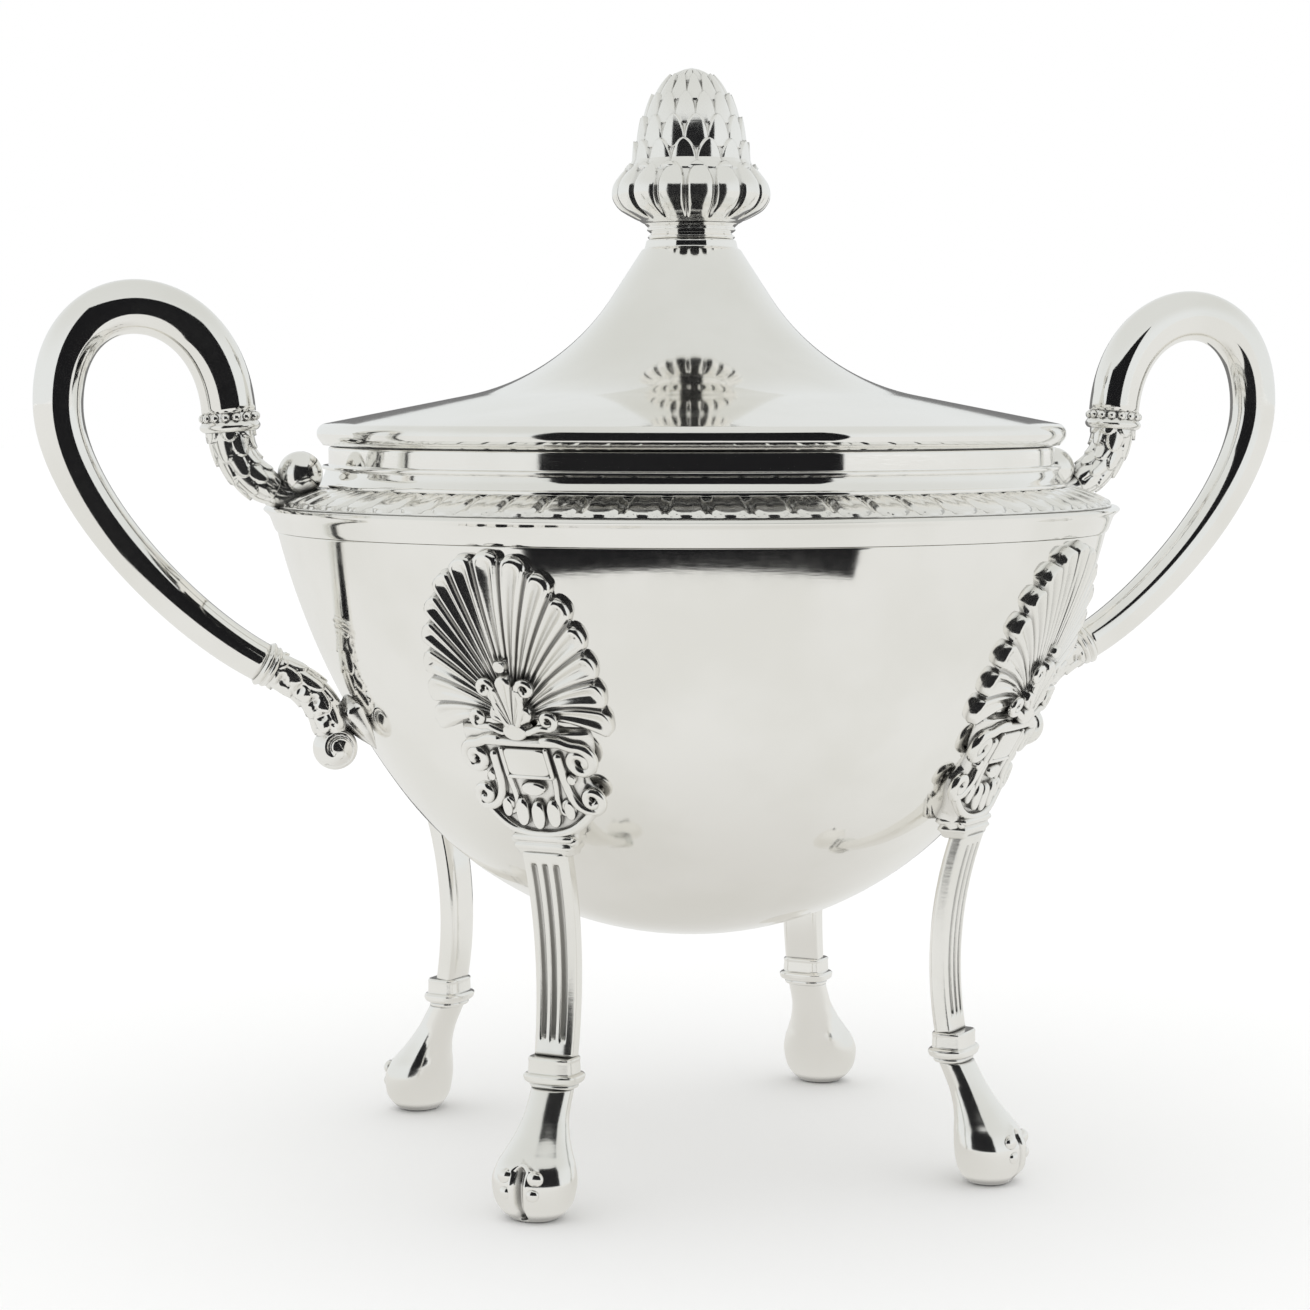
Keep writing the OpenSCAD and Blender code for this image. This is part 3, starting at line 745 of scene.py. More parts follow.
def side_frame(path):
    """For a path in the X-Z plane: angles are counted from the Y axis."""
    return np.tile([0.0, 1.0, 0.0], (len(path), 1))


def handle_tube():
    t = np.linspace(0, 1, 60)
    path = in_xz(np.concatenate([bezier(LOOP_OVER, t), bezier(LOOP_DOWN, t[1:])]))
    way = np.clip(np.linspace(0, 1, len(path)) - 0.25, 0, 1) / 0.75
    radius = (TUBE_TOP_D + (TUBE_END_D - TUBE_TOP_D) * way) / 2
    return Shape().add_grid(sweep(path, side_frame(path), radius, 48))


def at_end(end, following):
    """Matrix and origin of a handle end: its third axis leads away from the tube."""
    away = (end - following) / np.linalg.norm(end - following)
    z_axis = np.array([away[0], 0, away[1]])
    y_axis = np.array([0.0, 1.0, 0.0])
    x_axis = np.cross(y_axis, z_axis)
    return np.stack([x_axis, y_axis, z_axis], 1), np.array([end[0], 0, end[1]])


def placed(shape, matrix, origin):
    moved = shape.moved(matrix)
    moved.verts = [verts + origin for verts in moved.verts]
    return moved


def upper_collar():
    """A row of small beads over a plain rounded ring."""
    r = TUBE_TOP_D / 2
    ring = rounded([(0.3, 0.02, 0.05), (r - 0.1, 0.02, 0.1), (r - 0.05, 1.0, 0.2), (r + 0.1, 1.15, 0.15),
                    (r + 0.5, 1.75, 0.7), (r + 0.05, 2.4, 0.4), (0.3, 2.42, 0.05)], 5)
    shape = turned(ring, 96)
    beads = 15
    bead_r = r - 0.12
    for k in range(beads):
        a = TAU * (k + 0.5) / beads
        centre = (bead_r * math.cos(a), bead_r * math.sin(a), 0.6)
        shape.add_grid(bead(centre, (0.6, 0.6, 0.58), 9))
    return placed(shape, *at_end(LOOP_OVER[0], LOOP_OVER[1]))


def lower_collar():
    """Two plain rings, the second one smaller."""
    r = TUBE_END_D / 2
    ring = rounded([(0.3, 0.02, 0.05), (r + 0.1, 0.02, 0.1), (r + 0.55, 0.5, 0.5), (r + 0.05, 0.96, 0.1),
                    (r + 0.3, 1.35, 0.4), (r - 0.1, 1.8, 0.2), (0.3, 1.82, 0.05)], 5)
    return placed(turned(ring, 80), *at_end(LOOP_DOWN[3], LOOP_DOWN[2]))


def upper_leaf():
    """A scaled sheath that bends from the collar down to the rim."""
    away = (LOOP_OVER[0] - LOOP_OVER[1]) / np.linalg.norm(LOOP_OVER[0] - LOOP_OVER[1])
    start = LOOP_OVER[0] + away * 2.35
    route = np.array([start, start + away * 3.4, [59.0, 89.6], [55.4, 87.75]])
    path = in_xz(resampled(bezier(route, np.linspace(0, 1, 90)), 110))
    length = length_of(path)
    s = np.linspace(0, length, len(path))
    radius = smooth_through([0, 0.6, 3.5, 7.5, length], [3.0, 2.95, 2.6, 2.35, 1.9], s)

    def scales(row, angle):
        rows = s[row] / 2.3
        fade = np.clip((length - s[row]) / 1.5, 0, 1)
        return (0.62 * shingles(rows, angle / TAU + 0.25, 7, 1.5) - 0.3) * fade

    shape = Shape().add_grid(sweep(path, side_frame(path), radius, 84, scales))
    curl = np.array([[55.6, 87.6], [54.6, 86.9], [52.6, 87.0], [51.6, 88.0]])
    lip = in_xz(bezier(curl, np.linspace(0, 1, 24)))
    shape.add_grid(sweep(lip, side_frame(lip), np.linspace(1.8, 1.2, 24), 24))
    return shape


def volute_ball(centre, radius, groove):
    """A ball turned about the Y axis, its two cheeks cut with a short spiral."""
    polar = np.linspace(0.04, math.pi - 0.04, 64)
    ring = np.linspace(0, TAU, 96, endpoint=False)
    from_cheek = np.minimum(polar, math.pi - polar)[:, None]
    turn = (ring[None, :] / TAU + 0.15) % 1.0
    curl = 0.35 + 0.75 * turn
    cut = groove * hump(from_cheek - curl, 0.10) * np.clip(turn / 0.12, 0, 1)
    r = radius - cut
    grid = np.stack([r * np.sin(polar)[:, None] * np.cos(ring), r * np.cos(polar)[:, None] * np.ones(96),
                     r * np.sin(polar)[:, None] * np.sin(ring)], -1)
    return Shape().add_grid(grid + np.array([centre[0], 0, centre[1]]))


def lower_leaf():
    """A stem with a row of eyes on each side that ends in a pointed leaf on the bowl."""
    away = (LOOP_DOWN[3] - LOOP_DOWN[2]) / np.linalg.norm(LOOP_DOWN[3] - LOOP_DOWN[2])
    start = LOOP_DOWN[3] + away * 1.75
    route = np.array([start, start + away * 5.5, LOWER_KNEE + [1.4, 2.6], LOWER_BALL + np.array([0.15, 1.2])])
    path = in_xz(resampled(bezier(route, np.linspace(0, 1, 90)), 130))
    length = length_of(path)
    s = np.linspace(0, length, len(path))
    radius = smooth_through([0, 3, 7, length - 2.0, length], [2.35, 2.3, 2.25, 2.2, 1.7], s)

    def scales(row, angle):
        place = s[row] / 2.6
        fade = np.clip((length - s[row]) / 2.0, 0, 1) * np.clip(s[row] / 0.4, 0, 1)
        cover = 0.5 * shingles(place, angle / TAU + 0.25, 6, 1.4) - 0.22
        cheek = np.minimum(np.abs(angle - 0.35), np.abs(angle - math.pi + 0.35)) * 2.2
        eye = 0.55 * hump(cheek, 0.75) * hump(((place % 1.0) - 0.5) * 2.6, 0.55)
        return (cover - eye) * fade

    shape = Shape().add_grid(sweep(path, side_frame(path), radius, 84, scales))
    wall_z = np.linspace(61.6, 54.6, 40)
    r, nr, nz = wall_at(wall_z)
    way = np.linspace(0, 1, 40)
    half = smooth_through([0, 0.25, 0.6, 0.85, 1], [0.6, 2.3, 2.3, 1.3, 0.06], way)
    rise = smooth_through([0, 0.25, 0.6, 1], [0.4, 2.6, 1.7, 0.1], way)
    across = np.linspace(-1, 1, 21)
    rows = []
    for k in range(40):
        crown = rise[k] * quarter_round(across) * (0.8 + 0.2 * np.cos(5 * math.pi * across))
        top = [[r[k] + nr[k] * h - 0.1, u * half[k], wall_z[k] + nz[k] * h] for u, h in zip(across, crown)]
        base = [[r[k] - 0.25 * nr[k], u * half[k], wall_z[k] - 0.25 * nz[k]] for u in across[::-1]]
        rows.append(top + base)
    return shape.add_grid(np.array(rows))


# ---------------------------------------------------------------- palmettes
HEART_Z = 61.5
FAN_UP = 20.55
FAN_ASIDE = 12.1
FAN_LEAVES = 15
FAN_FROM, FAN_TO = math.radians(-9), math.radians(189)


def on_bowl(u, z, h):
    """Points on the bowl facing +X: u goes round the wall, z up, and h stands out from it."""
    r, nr, nz = wall_at(z)
    out = r + nr * h
    turn = np.asarray(u, float) / np.maximum(r, 1)
    return np.stack([out * np.cos(turn), out * np.sin(turn), z + nz * h], -1)


def out_of_bowl(u, z):
    """The wall's outward direction at the same places."""
    r, nr, nz = wall_at(z)
    turn = np.asarray(u, float) / np.maximum(r, 1)
    return np.stack([nr * np.cos(turn), nr * np.sin(turn), nz], -1)


def least(a, b, sharpness=4.0):
    """A smooth minimum of two positive numbers."""
    a, b = np.maximum(a, 1e-4), np.maximum(b, 1e-4)
    return (a ** -sharpness + b ** -sharpness) ** (-1 / sharpness)


def fan(heart, up, down, aside, leaves, start, stop, plate, rise, hollow, inner=0.0, radial=44):
    """A fan of hollow leaves with raised borders and rounded tips, laid on the bowl."""
    per_leaf = 20

    def reach(c, s):
        return squared(c / aside, s / np.where(s > 0, up, down), 2.25)

    scan = np.linspace(start, stop, 721)
    rim = reach(np.cos(scan), np.sin(scan))[:, None] * np.stack([np.cos(scan), np.sin(scan)], 1)
    run = distances(rim)
    place = np.linspace(0, leaves, leaves * per_leaf + 1)
    angles = np.interp(place / leaves * run[-1], run, scan)
    u = 2 * (place % 1.0) - 1
    which = np.minimum(np.floor(place), leaves - 1)
    first, last = (np.interp((which + k) / leaves * run[-1], run, scan) for k in (0, 1))
    half_turn, centre = (last - first) / 2, (first + last) / 2
    cos, sin = np.cos(angles), np.sin(angles)
    smooth_r = reach(cos, sin)
    leaf_r = reach(np.cos(centre), np.sin(centre))
    tip = quarter_round(0.93 * u) - 1
    edge = 0.4 * smooth_r + 0.6 * np.minimum(leaf_r, smooth_r * 1.1) + tip * leaf_r * half_turn * 0.85
    share = np.linspace(0, 1, radial) ** 0.85
    rho = inner + (edge[:, None] - inner) * share[None, :]
    half_w = np.maximum(rho * np.sin(half_turn)[:, None], 0.05)
    side = (1 - np.abs(u))[:, None] * half_w
    to_tip = edge[:, None] - rho
    border = np.minimum(0.36 + 0.014 * rho, 0.6 * half_w)
    near = least(side, to_tip + 0.02)
    up_side = quarter_round(1 - np.clip(side / border, 0, 1))
    middle = np.maximum(half_w - border, 0.05)
    dip = ease((near - border) / middle)
    grown = np.clip(rho / up * 1.25, 0, 1)
    high = plate + rise * (0.45 + 0.55 * grown) * up_side - hollow * grown * dip
    high = 0.02 + (high - 0.02) * quarter_round(1 - np.clip(to_tip / 0.55, 0, 1))
    lean = 0.22 * (math.pi / 2 - angles)[:, None]
    swung = angles[:, None] + lean * (1 - rho / edge[:, None])
    front = on_bowl(rho * np.cos(swung), heart + rho * np.sin(swung), high)
    back_rho = edge[:, None] * np.linspace(1, 0, 6) + inner * np.linspace(0, 1, 6)
    swung = angles[:, None] + lean * (1 - back_rho / edge[:, None])
    back = on_bowl(back_rho * np.cos(swung), heart + back_rho * np.sin(swung), -0.15)
    return np.concatenate([front, back], 1)


def ground(z):
    """Thickness of the plaque under the ornament: it grows towards the foot."""
    return smooth_through([44, 47, 49, 51, 54, 57, 90], [4.3, 3.7, 2.4, 1.5, 0.95, 0.85, 0.85], z)


def strand(points, radius, height, taper=(0.6, 0.6), sides=14):
    """A raised strand along (u, z) points; height lifts its middle above the plaque."""
    points = resampled(points, max(16, int(length_of(np.asarray(points)) / 0.16)))
    length = length_of(points)
    path = on_bowl(points[:, 0], points[:, 1], ground(points[:, 1]) + height)
    normal = out_of_bowl(points[:, 0], points[:, 1])
    return sweep(path, normal, rounded_ends(len(points), radius, *taper, length), sides)


def volute(start, lead, centre, radius, from_angle, turns):
    """(u, z) points of a strand that runs in from start and winds up round centre."""
    centre = np.array(centre, float)
    a = math.radians(from_angle) + np.linspace(0, TAU * turns, int(40 * abs(turns)) + 4)
    shrink = radius * (1 - 0.72 * np.linspace(0, 1, len(a)))
    curl = centre + np.stack([shrink * np.cos(a), shrink * np.sin(a)], 1)
    heading = curl[1] - curl[0]
    heading /= np.linalg.norm(heading)
    start = np.array(start, float)
    reach = np.linalg.norm(curl[0] - start) * 0.4
    route = np.array([start, start + np.array(lead), curl[0] - heading * reach, curl[0]])
    tail = bezier(route, np.linspace(0, 1, 24))
    return np.concatenate([tail[:-1], curl])


def flipped(points):
    return np.asarray(points, float) * [-1, 1]


def wall_plate():
    """The plain ground under the scrolls and the cup, with soft edges."""
    z = np.linspace(60.6, PALM_Z, 80)
    half = smooth_through([46.9, 48.2, 49.6, 51.0, 52.4, 54.0, 55.6, 57.6, 59.4, 60.6],
                          [4.0, 4.5, 5.7, 7.2, 7.9, 6.9, 7.3, 8.6, 8.9, 8.7], z)
    across = np.linspace(-1, 1, 33)
    lift = ground(z)[:, None] * np.sqrt(np.clip(1 - np.abs(across) ** 10, 0, 1))
    ends = np.clip(np.arange(80)[:, None] / 3, 0.05, 1)
    top = on_bowl(half[:, None] * across, z[:, None] * np.ones(33), 0.02 + lift * ends)
    under = on_bowl(half[:, None] * across[::-1], z[:, None] * np.ones(33), -0.15)
    return np.concatenate([top, under], 1)


def pad(centre_u, centre_z, half_u, half_z, low_h, high_h, corner=3.0, steps=20, ease_at=0.7):
    """A low raised pad with rounded sides; corner makes it squarer as it grows."""
    turn = np.linspace(0, TAU, 64, endpoint=False)
    size = squared(np.cos(turn), np.sin(turn), corner)
    share = np.linspace(0.02, 1, steps)[:, None]
    to_edge = np.clip((share - ease_at) / (1 - ease_at), 0, 1)
    height = low_h + (high_h - low_h) * quarter_round(to_edge)
    u = centre_u + half_u * share * size * np.cos(turn)
    z = centre_z + half_z * share * size * np.sin(turn)
    front = on_bowl(u, z, ground(z) + height * np.ones(64))
    back = on_bowl(u[::-1], z[::-1], ground(z[::-1]) + low_h - 0.3)
    return np.concatenate([front, back], 0)


def palmette():
    """A fluted palmette over a tablet, side scrolls and a small cup, facing +X."""
    shape = Shape()
    large = fan(HEART_Z, FAN_UP, 7.0, FAN_ASIDE, FAN_LEAVES, FAN_FROM, FAN_TO, 0.4, 1.1, 0.75, 1.2)
    shape.add_grid(large)
    small = fan(HEART_Z - 0.6, 6.9, 3.0, 3.0, 5, math.radians(24), math.radians(156), 1.7, 0.6, 0.3, 0.6, 20)
    shape.add_grid(small)
    shape.add_grid(pad(0, HEART_Z + 7.2, 0.85, 0.8, 0.0, 1.3, 2.6))
    shape.add_grid(pad(0, HEART_Z - 0.7, 1.8, 1.2, 0.0, 1.25, 2.0))
    shape.add_grid(wall_plate())
    strands = [
        (volute((0.5, 61.3), (0.9, 1.9), (2.6, 66.0), 1.05, 200, -1.25), 0.45, 0.95),
        (volute((1.2, 60.6), (1.6, 0.4), (4.5, 62.3), 1.05, 250, 1.25), 0.45, 0.9),
        (volute((2.4, 59.3), (2.2, 0.7), (6.9, 57.0), 1.75, 95, -1.5), 0.7, 0.25),
        (volute((4.2, 58.0), (0.2, -3.4), (7.1, 52.3), 1.3, 255, 1.35), 0.62, 0.25),
        (volute((2.9, 55.2), (0.5, -1.3), (3.9, 51.4), 0.85, 250, 1.2), 0.42, 0.2),
    ]
    for points, radius, height in strands:
        for path in (points, flipped(points)):
            shape.add_grid(strand(path, radius, height))
    shape.add_grid(strand([(-5.4, 59.2), (0, 59.2), (5.4, 59.2)], 0.6, 0.35, (0.4, 0.4)))
    shape.add_grid(pad(0, 56.7, 2.9, 1.75, 0.0, 0.7, 8.0, ease_at=0.85))
    frame_line = [(-2.95, 58.6), (-2.95, 54.9), (2.95, 54.9), (2.95, 58.6)]
    shape.add_grid(strand(frame_line, 0.3, 0.5, (0.2, 0.2)))
    shape.add_grid(pad(0, 53.5, 1.7, 0.85, 0.0, 0.9, 2.0))
    for u in (-2.05, 0.0, 2.05):
        shape.add_grid(pad(u, 50.6 + 0.12 * abs(u), 0.95, 1.5, 0.0, 1.0, 2.3))
    for side in (-1, 1):
        shape.add_grid(pad(side * 5.3, 54.8, 0.6, 0.65, 0.0, 0.8, 2.0))
        shape.add_grid(pad(side * 4.1, 51.2, 0.75, 1.1, 0.0, 0.8, 2.2))
    for z, half, radius, sag, power in ((51.6, 7.4, 0.62, 3.1, 2.6), (48.2, 4.2, 0.42, 0.9, 2.0)):
        u = np.linspace(-half, half, 40)
        swag = np.stack([u, z - sag * (1 - np.abs(u / half) ** power)], 1)
        shape.add_grid(strand(swag, radius, 0.2, (0.7, 0.7)))
    return shape


# ---------------------------------------------------------------- legs
def ring_of(half_w, front, back, corner, flutes=0.0, steps=80):
    """A leg's section: (out, aside) points, out towards the front; flutes sink three grooves."""
    turn = np.linspace(0, TAU, steps, endpoint=False)
    cos, sin = np.cos(turn), np.sin(turn)
    size = squared(cos, sin, corner)
    out = np.where(cos > 0, front, back) * size * cos
    aside = half_w * size * sin
    pitch = half_w * 0.5
    from_groove = np.abs(aside) - pitch * np.clip(np.round(np.abs(aside) / pitch), 0, 1)
    dip = flutes * quarter_round(from_groove / (0.3 * pitch)) * (cos > 0)
    return out - dip, aside


def level(middle, out, aside, z):
    """One ring of a leg at a height, out being counted from middle."""
    return np.stack([middle + out, aside, np.full(len(out), z)], 1)


def block():
    """The moulded block under the palmette's foot."""
    shape = Shape()
    top = PALM_Z
    profile = [(top, 0.0), (top - 0.3, 0.3), (top - 0.65, 0.35), (top - 0.95, 0.05), (top - 1.15, -0.1),
               (top - 1.4, 0.1), (top - 1.65, 0.15), (top - 1.9, -0.05), (top - 2.1, -0.2), (top - 2.5, -0.3),
               (top - 2.7, -0.6)]
    middle = (BLOCK_IN + BLOCK_OUT) / 2
    half_depth = (BLOCK_OUT - BLOCK_IN) / 2
    rows = []
    for z, grow in profile:
        depth = half_depth + grow
        out, aside = ring_of(BLOCK_W / 2 - 0.25 + grow, depth, depth, 9.0)
        rows.append(level(middle, out, aside, z))
    return shape.add_grid(np.array(rows))


def shank():
    """The curved shank, with three flutes down its front."""
    bend_x = ANKLE_RHO + SHANK_BEND * math.cos(math.asin((BEND_Z - ANKLE_Z) / SHANK_BEND))
    top_z, low_z = 44.9, ANKLE_Z + ANKLE_UP - 0.1
    count = 90
    high_a = math.pi - math.asin((top_z - BEND_Z) / SHANK_BEND)
    low_a = math.pi + math.asin((BEND_Z - low_z) / SHANK_BEND)
    rows = []
    for k, a in enumerate(np.linspace(high_a, low_a, count)):
        way = k / (count - 1)
        half = SHANK_W / 2 + (ANKLE_W / 2 - SHANK_W / 2) * way
        cut = 0.8 * ease((way - 0.05) / 0.03) * ease((0.93 - way) / 0.03)
        out, aside = ring_of(half, 1.35, 1.25, 5.0, cut, 240)
        r = SHANK_BEND - out
        rows.append(np.stack([bend_x + r * math.cos(a), aside, BEND_Z + r * math.sin(a)], 1))
    shape = block()
    return shape.add_grid(np.array(rows))


def ankle():
    """A squared block over a wider flange and a narrow band."""
    top, low_z = ANKLE_Z + ANKLE_UP, ANKLE_Z - ANKLE_DOWN
    outline = rounded([
        (1.0, top, 0), (2.8, top, 0.15), (3.0, top - 0.25, 0.2), (2.92, top - 0.55, 0.1),
        (2.98, ANKLE_Z + 0.75, 0.1), (3.3, ANKLE_Z + 0.65, 0.1), (3.55, ANKLE_Z + 0.4, 0.25),
        (3.55, ANKLE_Z - 0.3, 0.25), (3.2, ANKLE_Z - 0.55, 0.1), (2.9, ANKLE_Z - 0.6, 0.05),
        (3.02, ANKLE_Z - 0.9, 0.15), (2.75, low_z, 0.15), (1.0, low_z, 0),
    ], 4, closed=False)
    rows = []
    for half, z in outline:
        corner = 4.5 - 1.7 * ease((ANKLE_Z + 0.7 - z) / 1.5)
        out, aside = ring_of(half, half * 0.74, half * 0.74, corner)
        rows.append(level(ANKLE_RHO, out, aside, z))
    return Shape().add_grid(np.array(rows))


def hoof():
    """The pastern and the hoof: a cleft toe with two knuckles on each side, on a flat sole."""
    top = ANKLE_Z - ANKLE_DOWN
    z = np.concatenate([np.linspace(top, 8, 40), np.linspace(8, 0.9, 64)[1:], np.linspace(0.9, 0.0, 10)[1:]])
    knots = [0, 0.35, 1.2, 2.6, 4.8, 6.6, 8.2, 10.2, 12.5, top]
    middle = smooth_through(knots, [43.2, 43.2, 43.25, 43.3, 43.2, 42.8, 42.1, 41.1, 39.9, 38.5], z)
    half_w = smooth_through(knots, [2.3, 3.1, 4.15, 5.0, 5.35, 4.95, 4.2, 3.35, 2.8, 2.7], z)
    half_d = smooth_through(knots, [2.3, 2.75, 3.5, 4.1, 4.3, 4.0, 3.35, 2.7, 2.3, 2.15], z)
    turn = np.linspace(0, TAU, 160, endpoint=False)
    side = (turn + math.pi) % TAU - math.pi
    rows = []
    size = squared(np.cos(turn), np.sin(turn), 2.15)
    for k, height in enumerate(z):
        lateral = side * half_w[k]
        cleft_ends = ease((7.4 - height) / 1.2) * ease((height - 0.15) / 0.6)
        cleft = -1.2 * hump(lateral, 0.55) * cleft_ends
        lip_ends = ease((7.2 - height) / 1.4) * ease((height - 0.6) / 1.5)
        lips = 0.3 * hump(np.abs(lateral) - 0.95, 0.4) * lip_ends
        crest = 7.3 - 0.5 * np.abs(lateral)
        vee = 0.28 * hump(height - crest, 0.4) * ease((3.2 - np.abs(lateral)) / 1.2)
        facing = ease((np.cos(turn) + 0.1) / 0.4)
        lift = (cleft + lips + vee) * facing * ease(height / 0.5)
        out = (half_d[k] * size + lift) * np.cos(turn)
        aside = (half_w[k] * size + lift) * np.sin(turn)
        rows.append(level(middle[k], out, aside, height))
    shape = Shape().add_grid(np.array(rows))
    for across, up, size in ((1.95, 5.8, 1.15), (1.75, 3.9, 0.95)):
        front = np.interp(up, z[::-1], half_d[::-1]) * math.cos(across / 5.2)
        depth = np.interp(up, z[::-1], middle[::-1]) + front
        for side in (-1, 1):
            knuckle = bead((depth - 0.2, side * across, up), (0.7 * size, size, 0.85 * size), 14)
            shape.add_grid(knuckle)
    return shape


# ---------------------------------------------------------------- stage
def stage_mesh(name, verts, faces, material, seen_by_camera=True):
    mesh = bpy.data.meshes.new(name)
    mesh.from_pydata([tuple(v) for v in verts], [], faces)
    mesh.materials.append(material)
    thing = bpy.data.objects.new(name, mesh)
    bpy.context.scene.collection.objects.link(thing)
    if not seen_by_camera:
        for key in ("visible_camera", "visible_diffuse", "visible_shadow", "visible_transmission"):
            setattr(thing, key, False)
    return thing


def matt(name, colour):
    material, tree, shader = node_tree(name)
    shader.inputs["Base Color"].default_value = (*colour, 1)
    shader.inputs["Roughness"].default_value = 0.9
    shader.inputs["Specular IOR Level"].default_value = 0.1
    return material


def glow(name, colour):
    """A material that only glows; returns it with its tree and its Emission node."""
    material = bpy.data.materials.new(name)
    material.use_nodes = True
    tree = material.node_tree
    tree.nodes.clear()
    lamp = tree.nodes.new("ShaderNodeEmission")
    lamp.inputs["Color"].default_value = (*colour, 1)
    link(tree, lamp.outputs["Emission"], tree.nodes.new("ShaderNodeOutputMaterial").inputs["Surface"])
    return material, tree, lamp


# Plain studio: near-neutral tones, sizes given, card heights as shares of the object's.
# Each card's half is an angle in degrees, and CARD_RADIUS is in mm; the rest is in metres.
OBJECT_H = TIP_Z
CARD_RADIUS = 160
CARD_STEPS = 32
FRONT_CARD_HALF = 40
FRONT_CARD_LOW = 0.06 * OBJECT_H
FRONT_CARD_HIGH = 1.5 * OBJECT_H
BACK_CARD_HALF = 25
BACK_CARD_LOW = 0.05 * OBJECT_H
BACK_CARD_HIGH = 0.9 * OBJECT_H
DARK = (0.01, 0.01, 0.011)
GREY = (0.2, 0.2, 0.2)
TABLE = (0.80, 0.80, 0.78)
TABLE_PAINTED_SHADOW = (0.66, 0.65, 0.62)
TABLE_RADIUS = 5.9
SHADE_FROM, SHADE_TO = 0.02, 0.085
FLOOR_HALF = 6.0
FLOOR = (0.94, 0.94, 0.935)
ROOM_SIDES = (0.80, 0.82, 0.82)
ROOM_TOP = (0.72, 0.73, 0.71)
FLOOR_LIGHT = 1.14


def round_camera(turn, z):
    """A point in metres on the cards' circle, turned in degrees from the camera's side."""
    a = math.radians(CAMERA_TURN + turn)
    return (CARD_RADIUS * math.sin(a) * MM, -CARD_RADIUS * math.cos(a) * MM, z * MM)


def card(name, middle, half, z_low, z_high, colour):
    """A plain upright card round the object, seen only in reflections."""
    turns = np.linspace(middle - half, middle + half, CARD_STEPS + 1)
    verts = [round_camera(turn, z) for turn in turns for z in (z_low, z_high)]
    faces = [(2 * i, 2 * i + 2, 2 * i + 3, 2 * i + 1) for i in range(CARD_STEPS)]
    material = glow(name, colour)[0]
    return stage_mesh(name, verts, faces, material, False)


def reflected_floor():
    """A glowing disc seen only in reflections: a painted reflection of the pale table, with a painted shadow
    of the bowl that darkens it towards the middle.
    """
    count = 64
    height = 0.0002
    ring = [TAU * k / count for k in range(count)]
    verts = [(0, 0, height)]
    verts += [(TABLE_RADIUS * math.cos(a), TABLE_RADIUS * math.sin(a), height) for a in ring]
    faces = [(0, k + 1, (k + 1) % count + 1) for k in range(count)]
    material, tree, lamp = glow("table_glow", TABLE)
    coords = tree.nodes.new("ShaderNodeTexCoord").outputs["Object"]
    away = tree.nodes.new("ShaderNodeVectorMath")
    away.operation = "LENGTH"
    link(tree, coords, away.inputs[0])
    # painted shadow: the glow darkens towards the bowl's axis
    shade = span(tree, away.outputs["Value"], SHADE_FROM, SHADE_TO, 0.8, 0.0)
    link(tree, blend_colours(tree, shade, TABLE, TABLE_PAINTED_SHADOW), lamp.inputs["Color"])
    stage_mesh("reflected_table", verts, faces, material, False)


def studio():
    corners = [(x * FLOOR_HALF, y * FLOOR_HALF, 0) for x, y in ((-1, -1), (1, -1), (1, 1), (-1, 1))]
    stage_mesh("floor", corners, [(0, 1, 2, 3)], matt("floor_white", FLOOR))
    reflected_floor()
    card("card_front", 0, FRONT_CARD_HALF, FRONT_CARD_LOW, FRONT_CARD_HIGH, DARK)
    card("card_back", 180, BACK_CARD_HALF, BACK_CARD_LOW, BACK_CARD_HIGH, GREY)


def world():
    """Plain white to the camera, even light for the floor, and a plain soft room for reflections."""
    scene = bpy.context.scene
    scene.world = scene.world or bpy.data.worlds.new("studio")
    scene.world.use_nodes = True
    tree = scene.world.node_tree
    tree.nodes.clear()
    path = tree.nodes.new("ShaderNodeLightPath")

    def background(strength):
        node = tree.nodes.new("ShaderNodeBackground")
        node.inputs["Color"].default_value = (1, 1, 1, 1)
        node.inputs["Strength"].default_value = strength
        return node

    def mixed(factor, first, second):
        node = tree.nodes.new("ShaderNodeMixShader")
        link(tree, factor, node.inputs["Fac"])
        link(tree, first, node.inputs[1])
        link(tree, second, node.inputs[2])
        return node.outputs["Shader"]

    direction = tree.nodes.new("ShaderNodeSeparateXYZ")
    link(tree, tree.nodes.new("ShaderNodeTexCoord").outputs["Generated"], direction.inputs["Vector"])
    height = span(tree, direction.outputs["Z"], 0.2, 0.8, 0.0, 1.0)
    room = background(1.0)
    link(tree, blend_colours(tree, height, ROOM_SIDES, ROOM_TOP), room.inputs["Color"])
    lit = background(FLOOR_LIGHT)
    seen = background(1.0)
    shown = mixed(path.outputs["Is Diffuse Ray"], room.outputs["Background"], lit.outputs["Background"])
    shown = mixed(path.outputs["Is Camera Ray"], shown, seen.outputs["Background"])
    link(tree, shown, tree.nodes.new("ShaderNodeOutputWorld").inputs["Surface"])


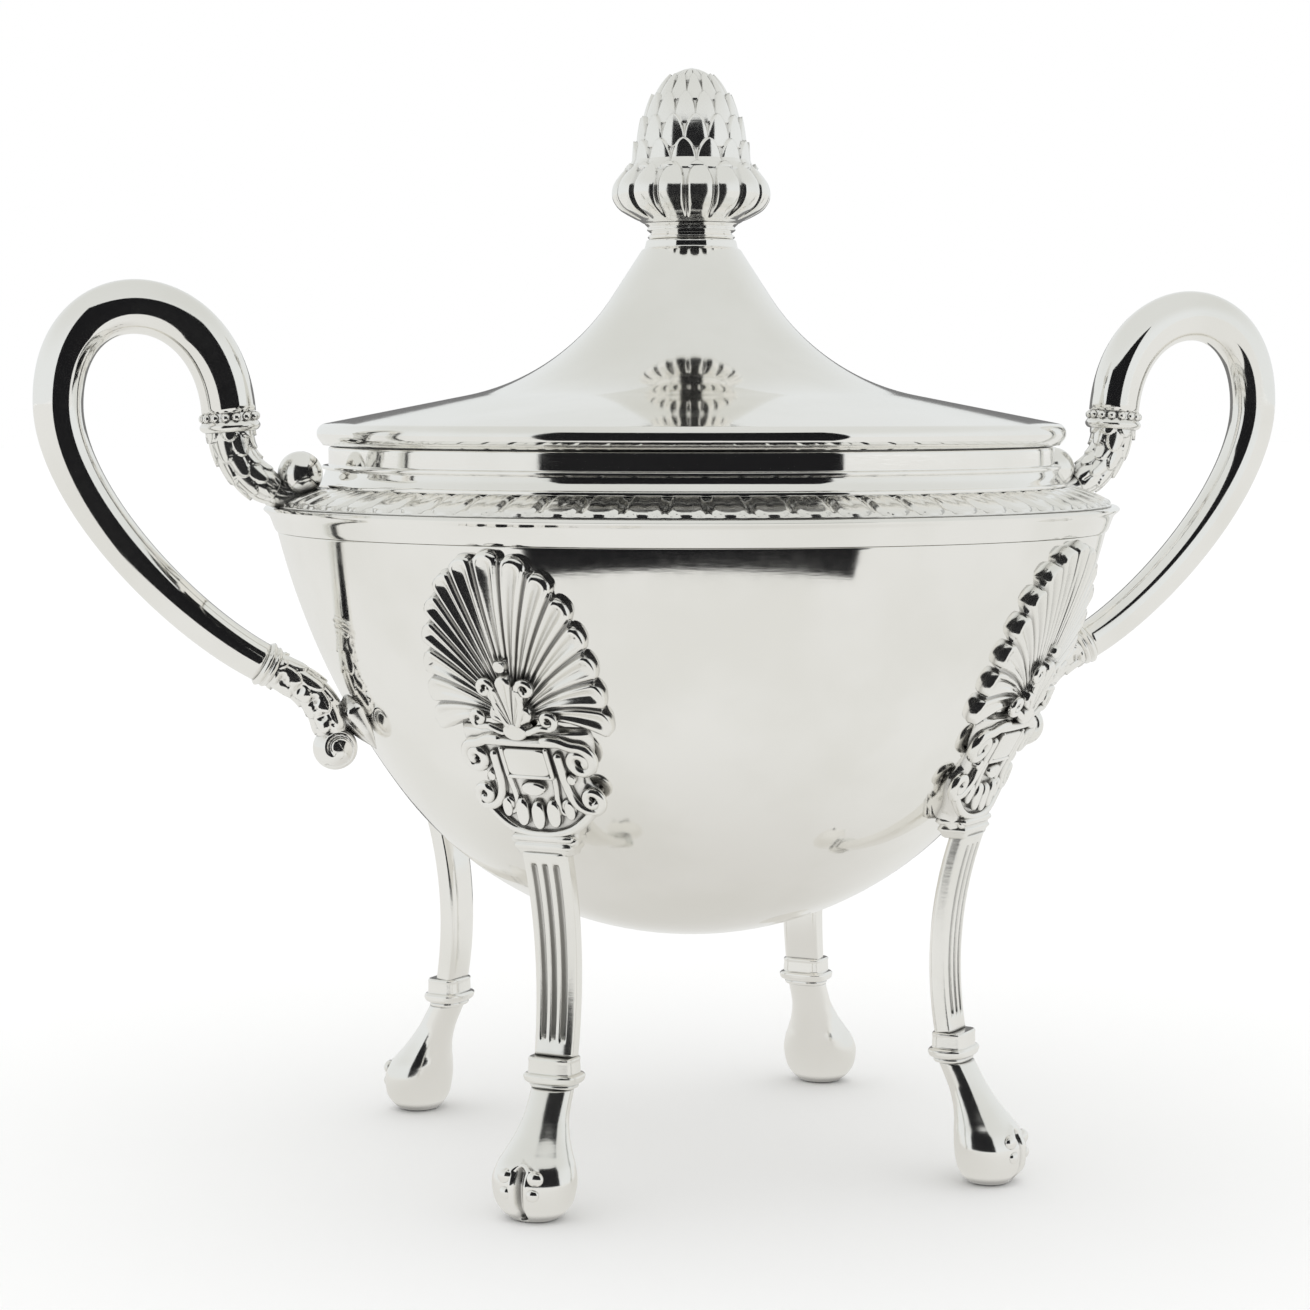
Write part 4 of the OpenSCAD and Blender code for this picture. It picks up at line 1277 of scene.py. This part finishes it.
def camera():
    turn = math.radians(CAMERA_TURN)
    right = np.array([math.cos(turn), math.sin(turn), 0])
    place = np.array([math.sin(turn) * CAMERA_RADIUS, -math.cos(turn) * CAMERA_RADIUS, CAMERA_HEIGHT])
    aim = right * AIM_ASIDE + np.array([0, 0, AIM_HEIGHT])
    data = bpy.data.cameras.new("camera")
    data.lens = CAMERA_LENS
    data.sensor_width = 36
    data.clip_start = 0.01
    thing = bpy.data.objects.new("camera", data)
    bpy.context.scene.collection.objects.link(thing)
    thing.location = place * MM
    thing.rotation_euler = Vector(aim - place).to_track_quat("-Z", "Y").to_euler()
    bpy.context.scene.camera = thing


# ---------------------------------------------------------------- assembly
def build():
    piece("silver_bowl", bowl(), POLISHED, "body", "bowl")
    piece("rim_moulding", rim_bead(), POLISHED, "body", "rim_bead")
    piece("leaf_border", leaf_band(), CHASED, "body", "leaf_band")
    piece("mouth_ring", mouth_collar(), POLISHED, "body", "mouth_collar")
    piece("lid_cover", lid_shell(), POLISHED, "lid", "lid_shell")
    piece("lid_rim", lid_bezel(), INNER, "lid", "lid_bezel")
    piece("knop_ring", knop_collar(), POLISHED, "lid", "knop_collar")
    piece("cone_knop", pinecone(), CHASED, "lid", "pinecone_knop")
    piece("knop_stud", knop_screw(), INNER, "lid", "knop_screw")
    piece("stud_washer", knop_washer(), INNER, "lid", "knop_washer")
    piece("stud_nut", knop_nut(), INNER, "lid", "knop_nut")
    leg_parts = {
        "palmette": (palmette(), CHASED),
        "shank": (shank(), CHASED),
        "ankle": (ankle(), CHASED),
        "hoof": (hoof(), CHASED),
    }
    for place, direction in LEGS.items():
        for part, (shape, material) in leg_parts.items():
            piece(f"cast_{part}_{place}", shape.moved(turn_z(direction)), material, "body", f"{part}_{place}")
    handle_parts = {
        "handle": (handle_tube(), POLISHED),
        "upper_collar": (upper_collar(), CHASED),
        "upper_leaf": (upper_leaf(), CHASED),
        "upper_ball": (volute_ball(UPPER_BALL, BALL_R, 0.0), CHASED),
        "lower_collar": (lower_collar(), CHASED),
        "lower_leaf": (lower_leaf(), CHASED),
        "lower_ball": (volute_ball(LOWER_BALL, BALL_R, 0.45), CHASED),
    }
    for side, mirror in (("left", MIRROR_X), ("right", np.eye(3))):
        for part, (shape, material) in handle_parts.items():
            piece(f"cast_{part}_{side}", shape.moved(mirror), material, "body", f"{part}_{side}")


build()
studio()
world()
camera()
bpy.context.scene.view_settings.view_transform = "Standard"
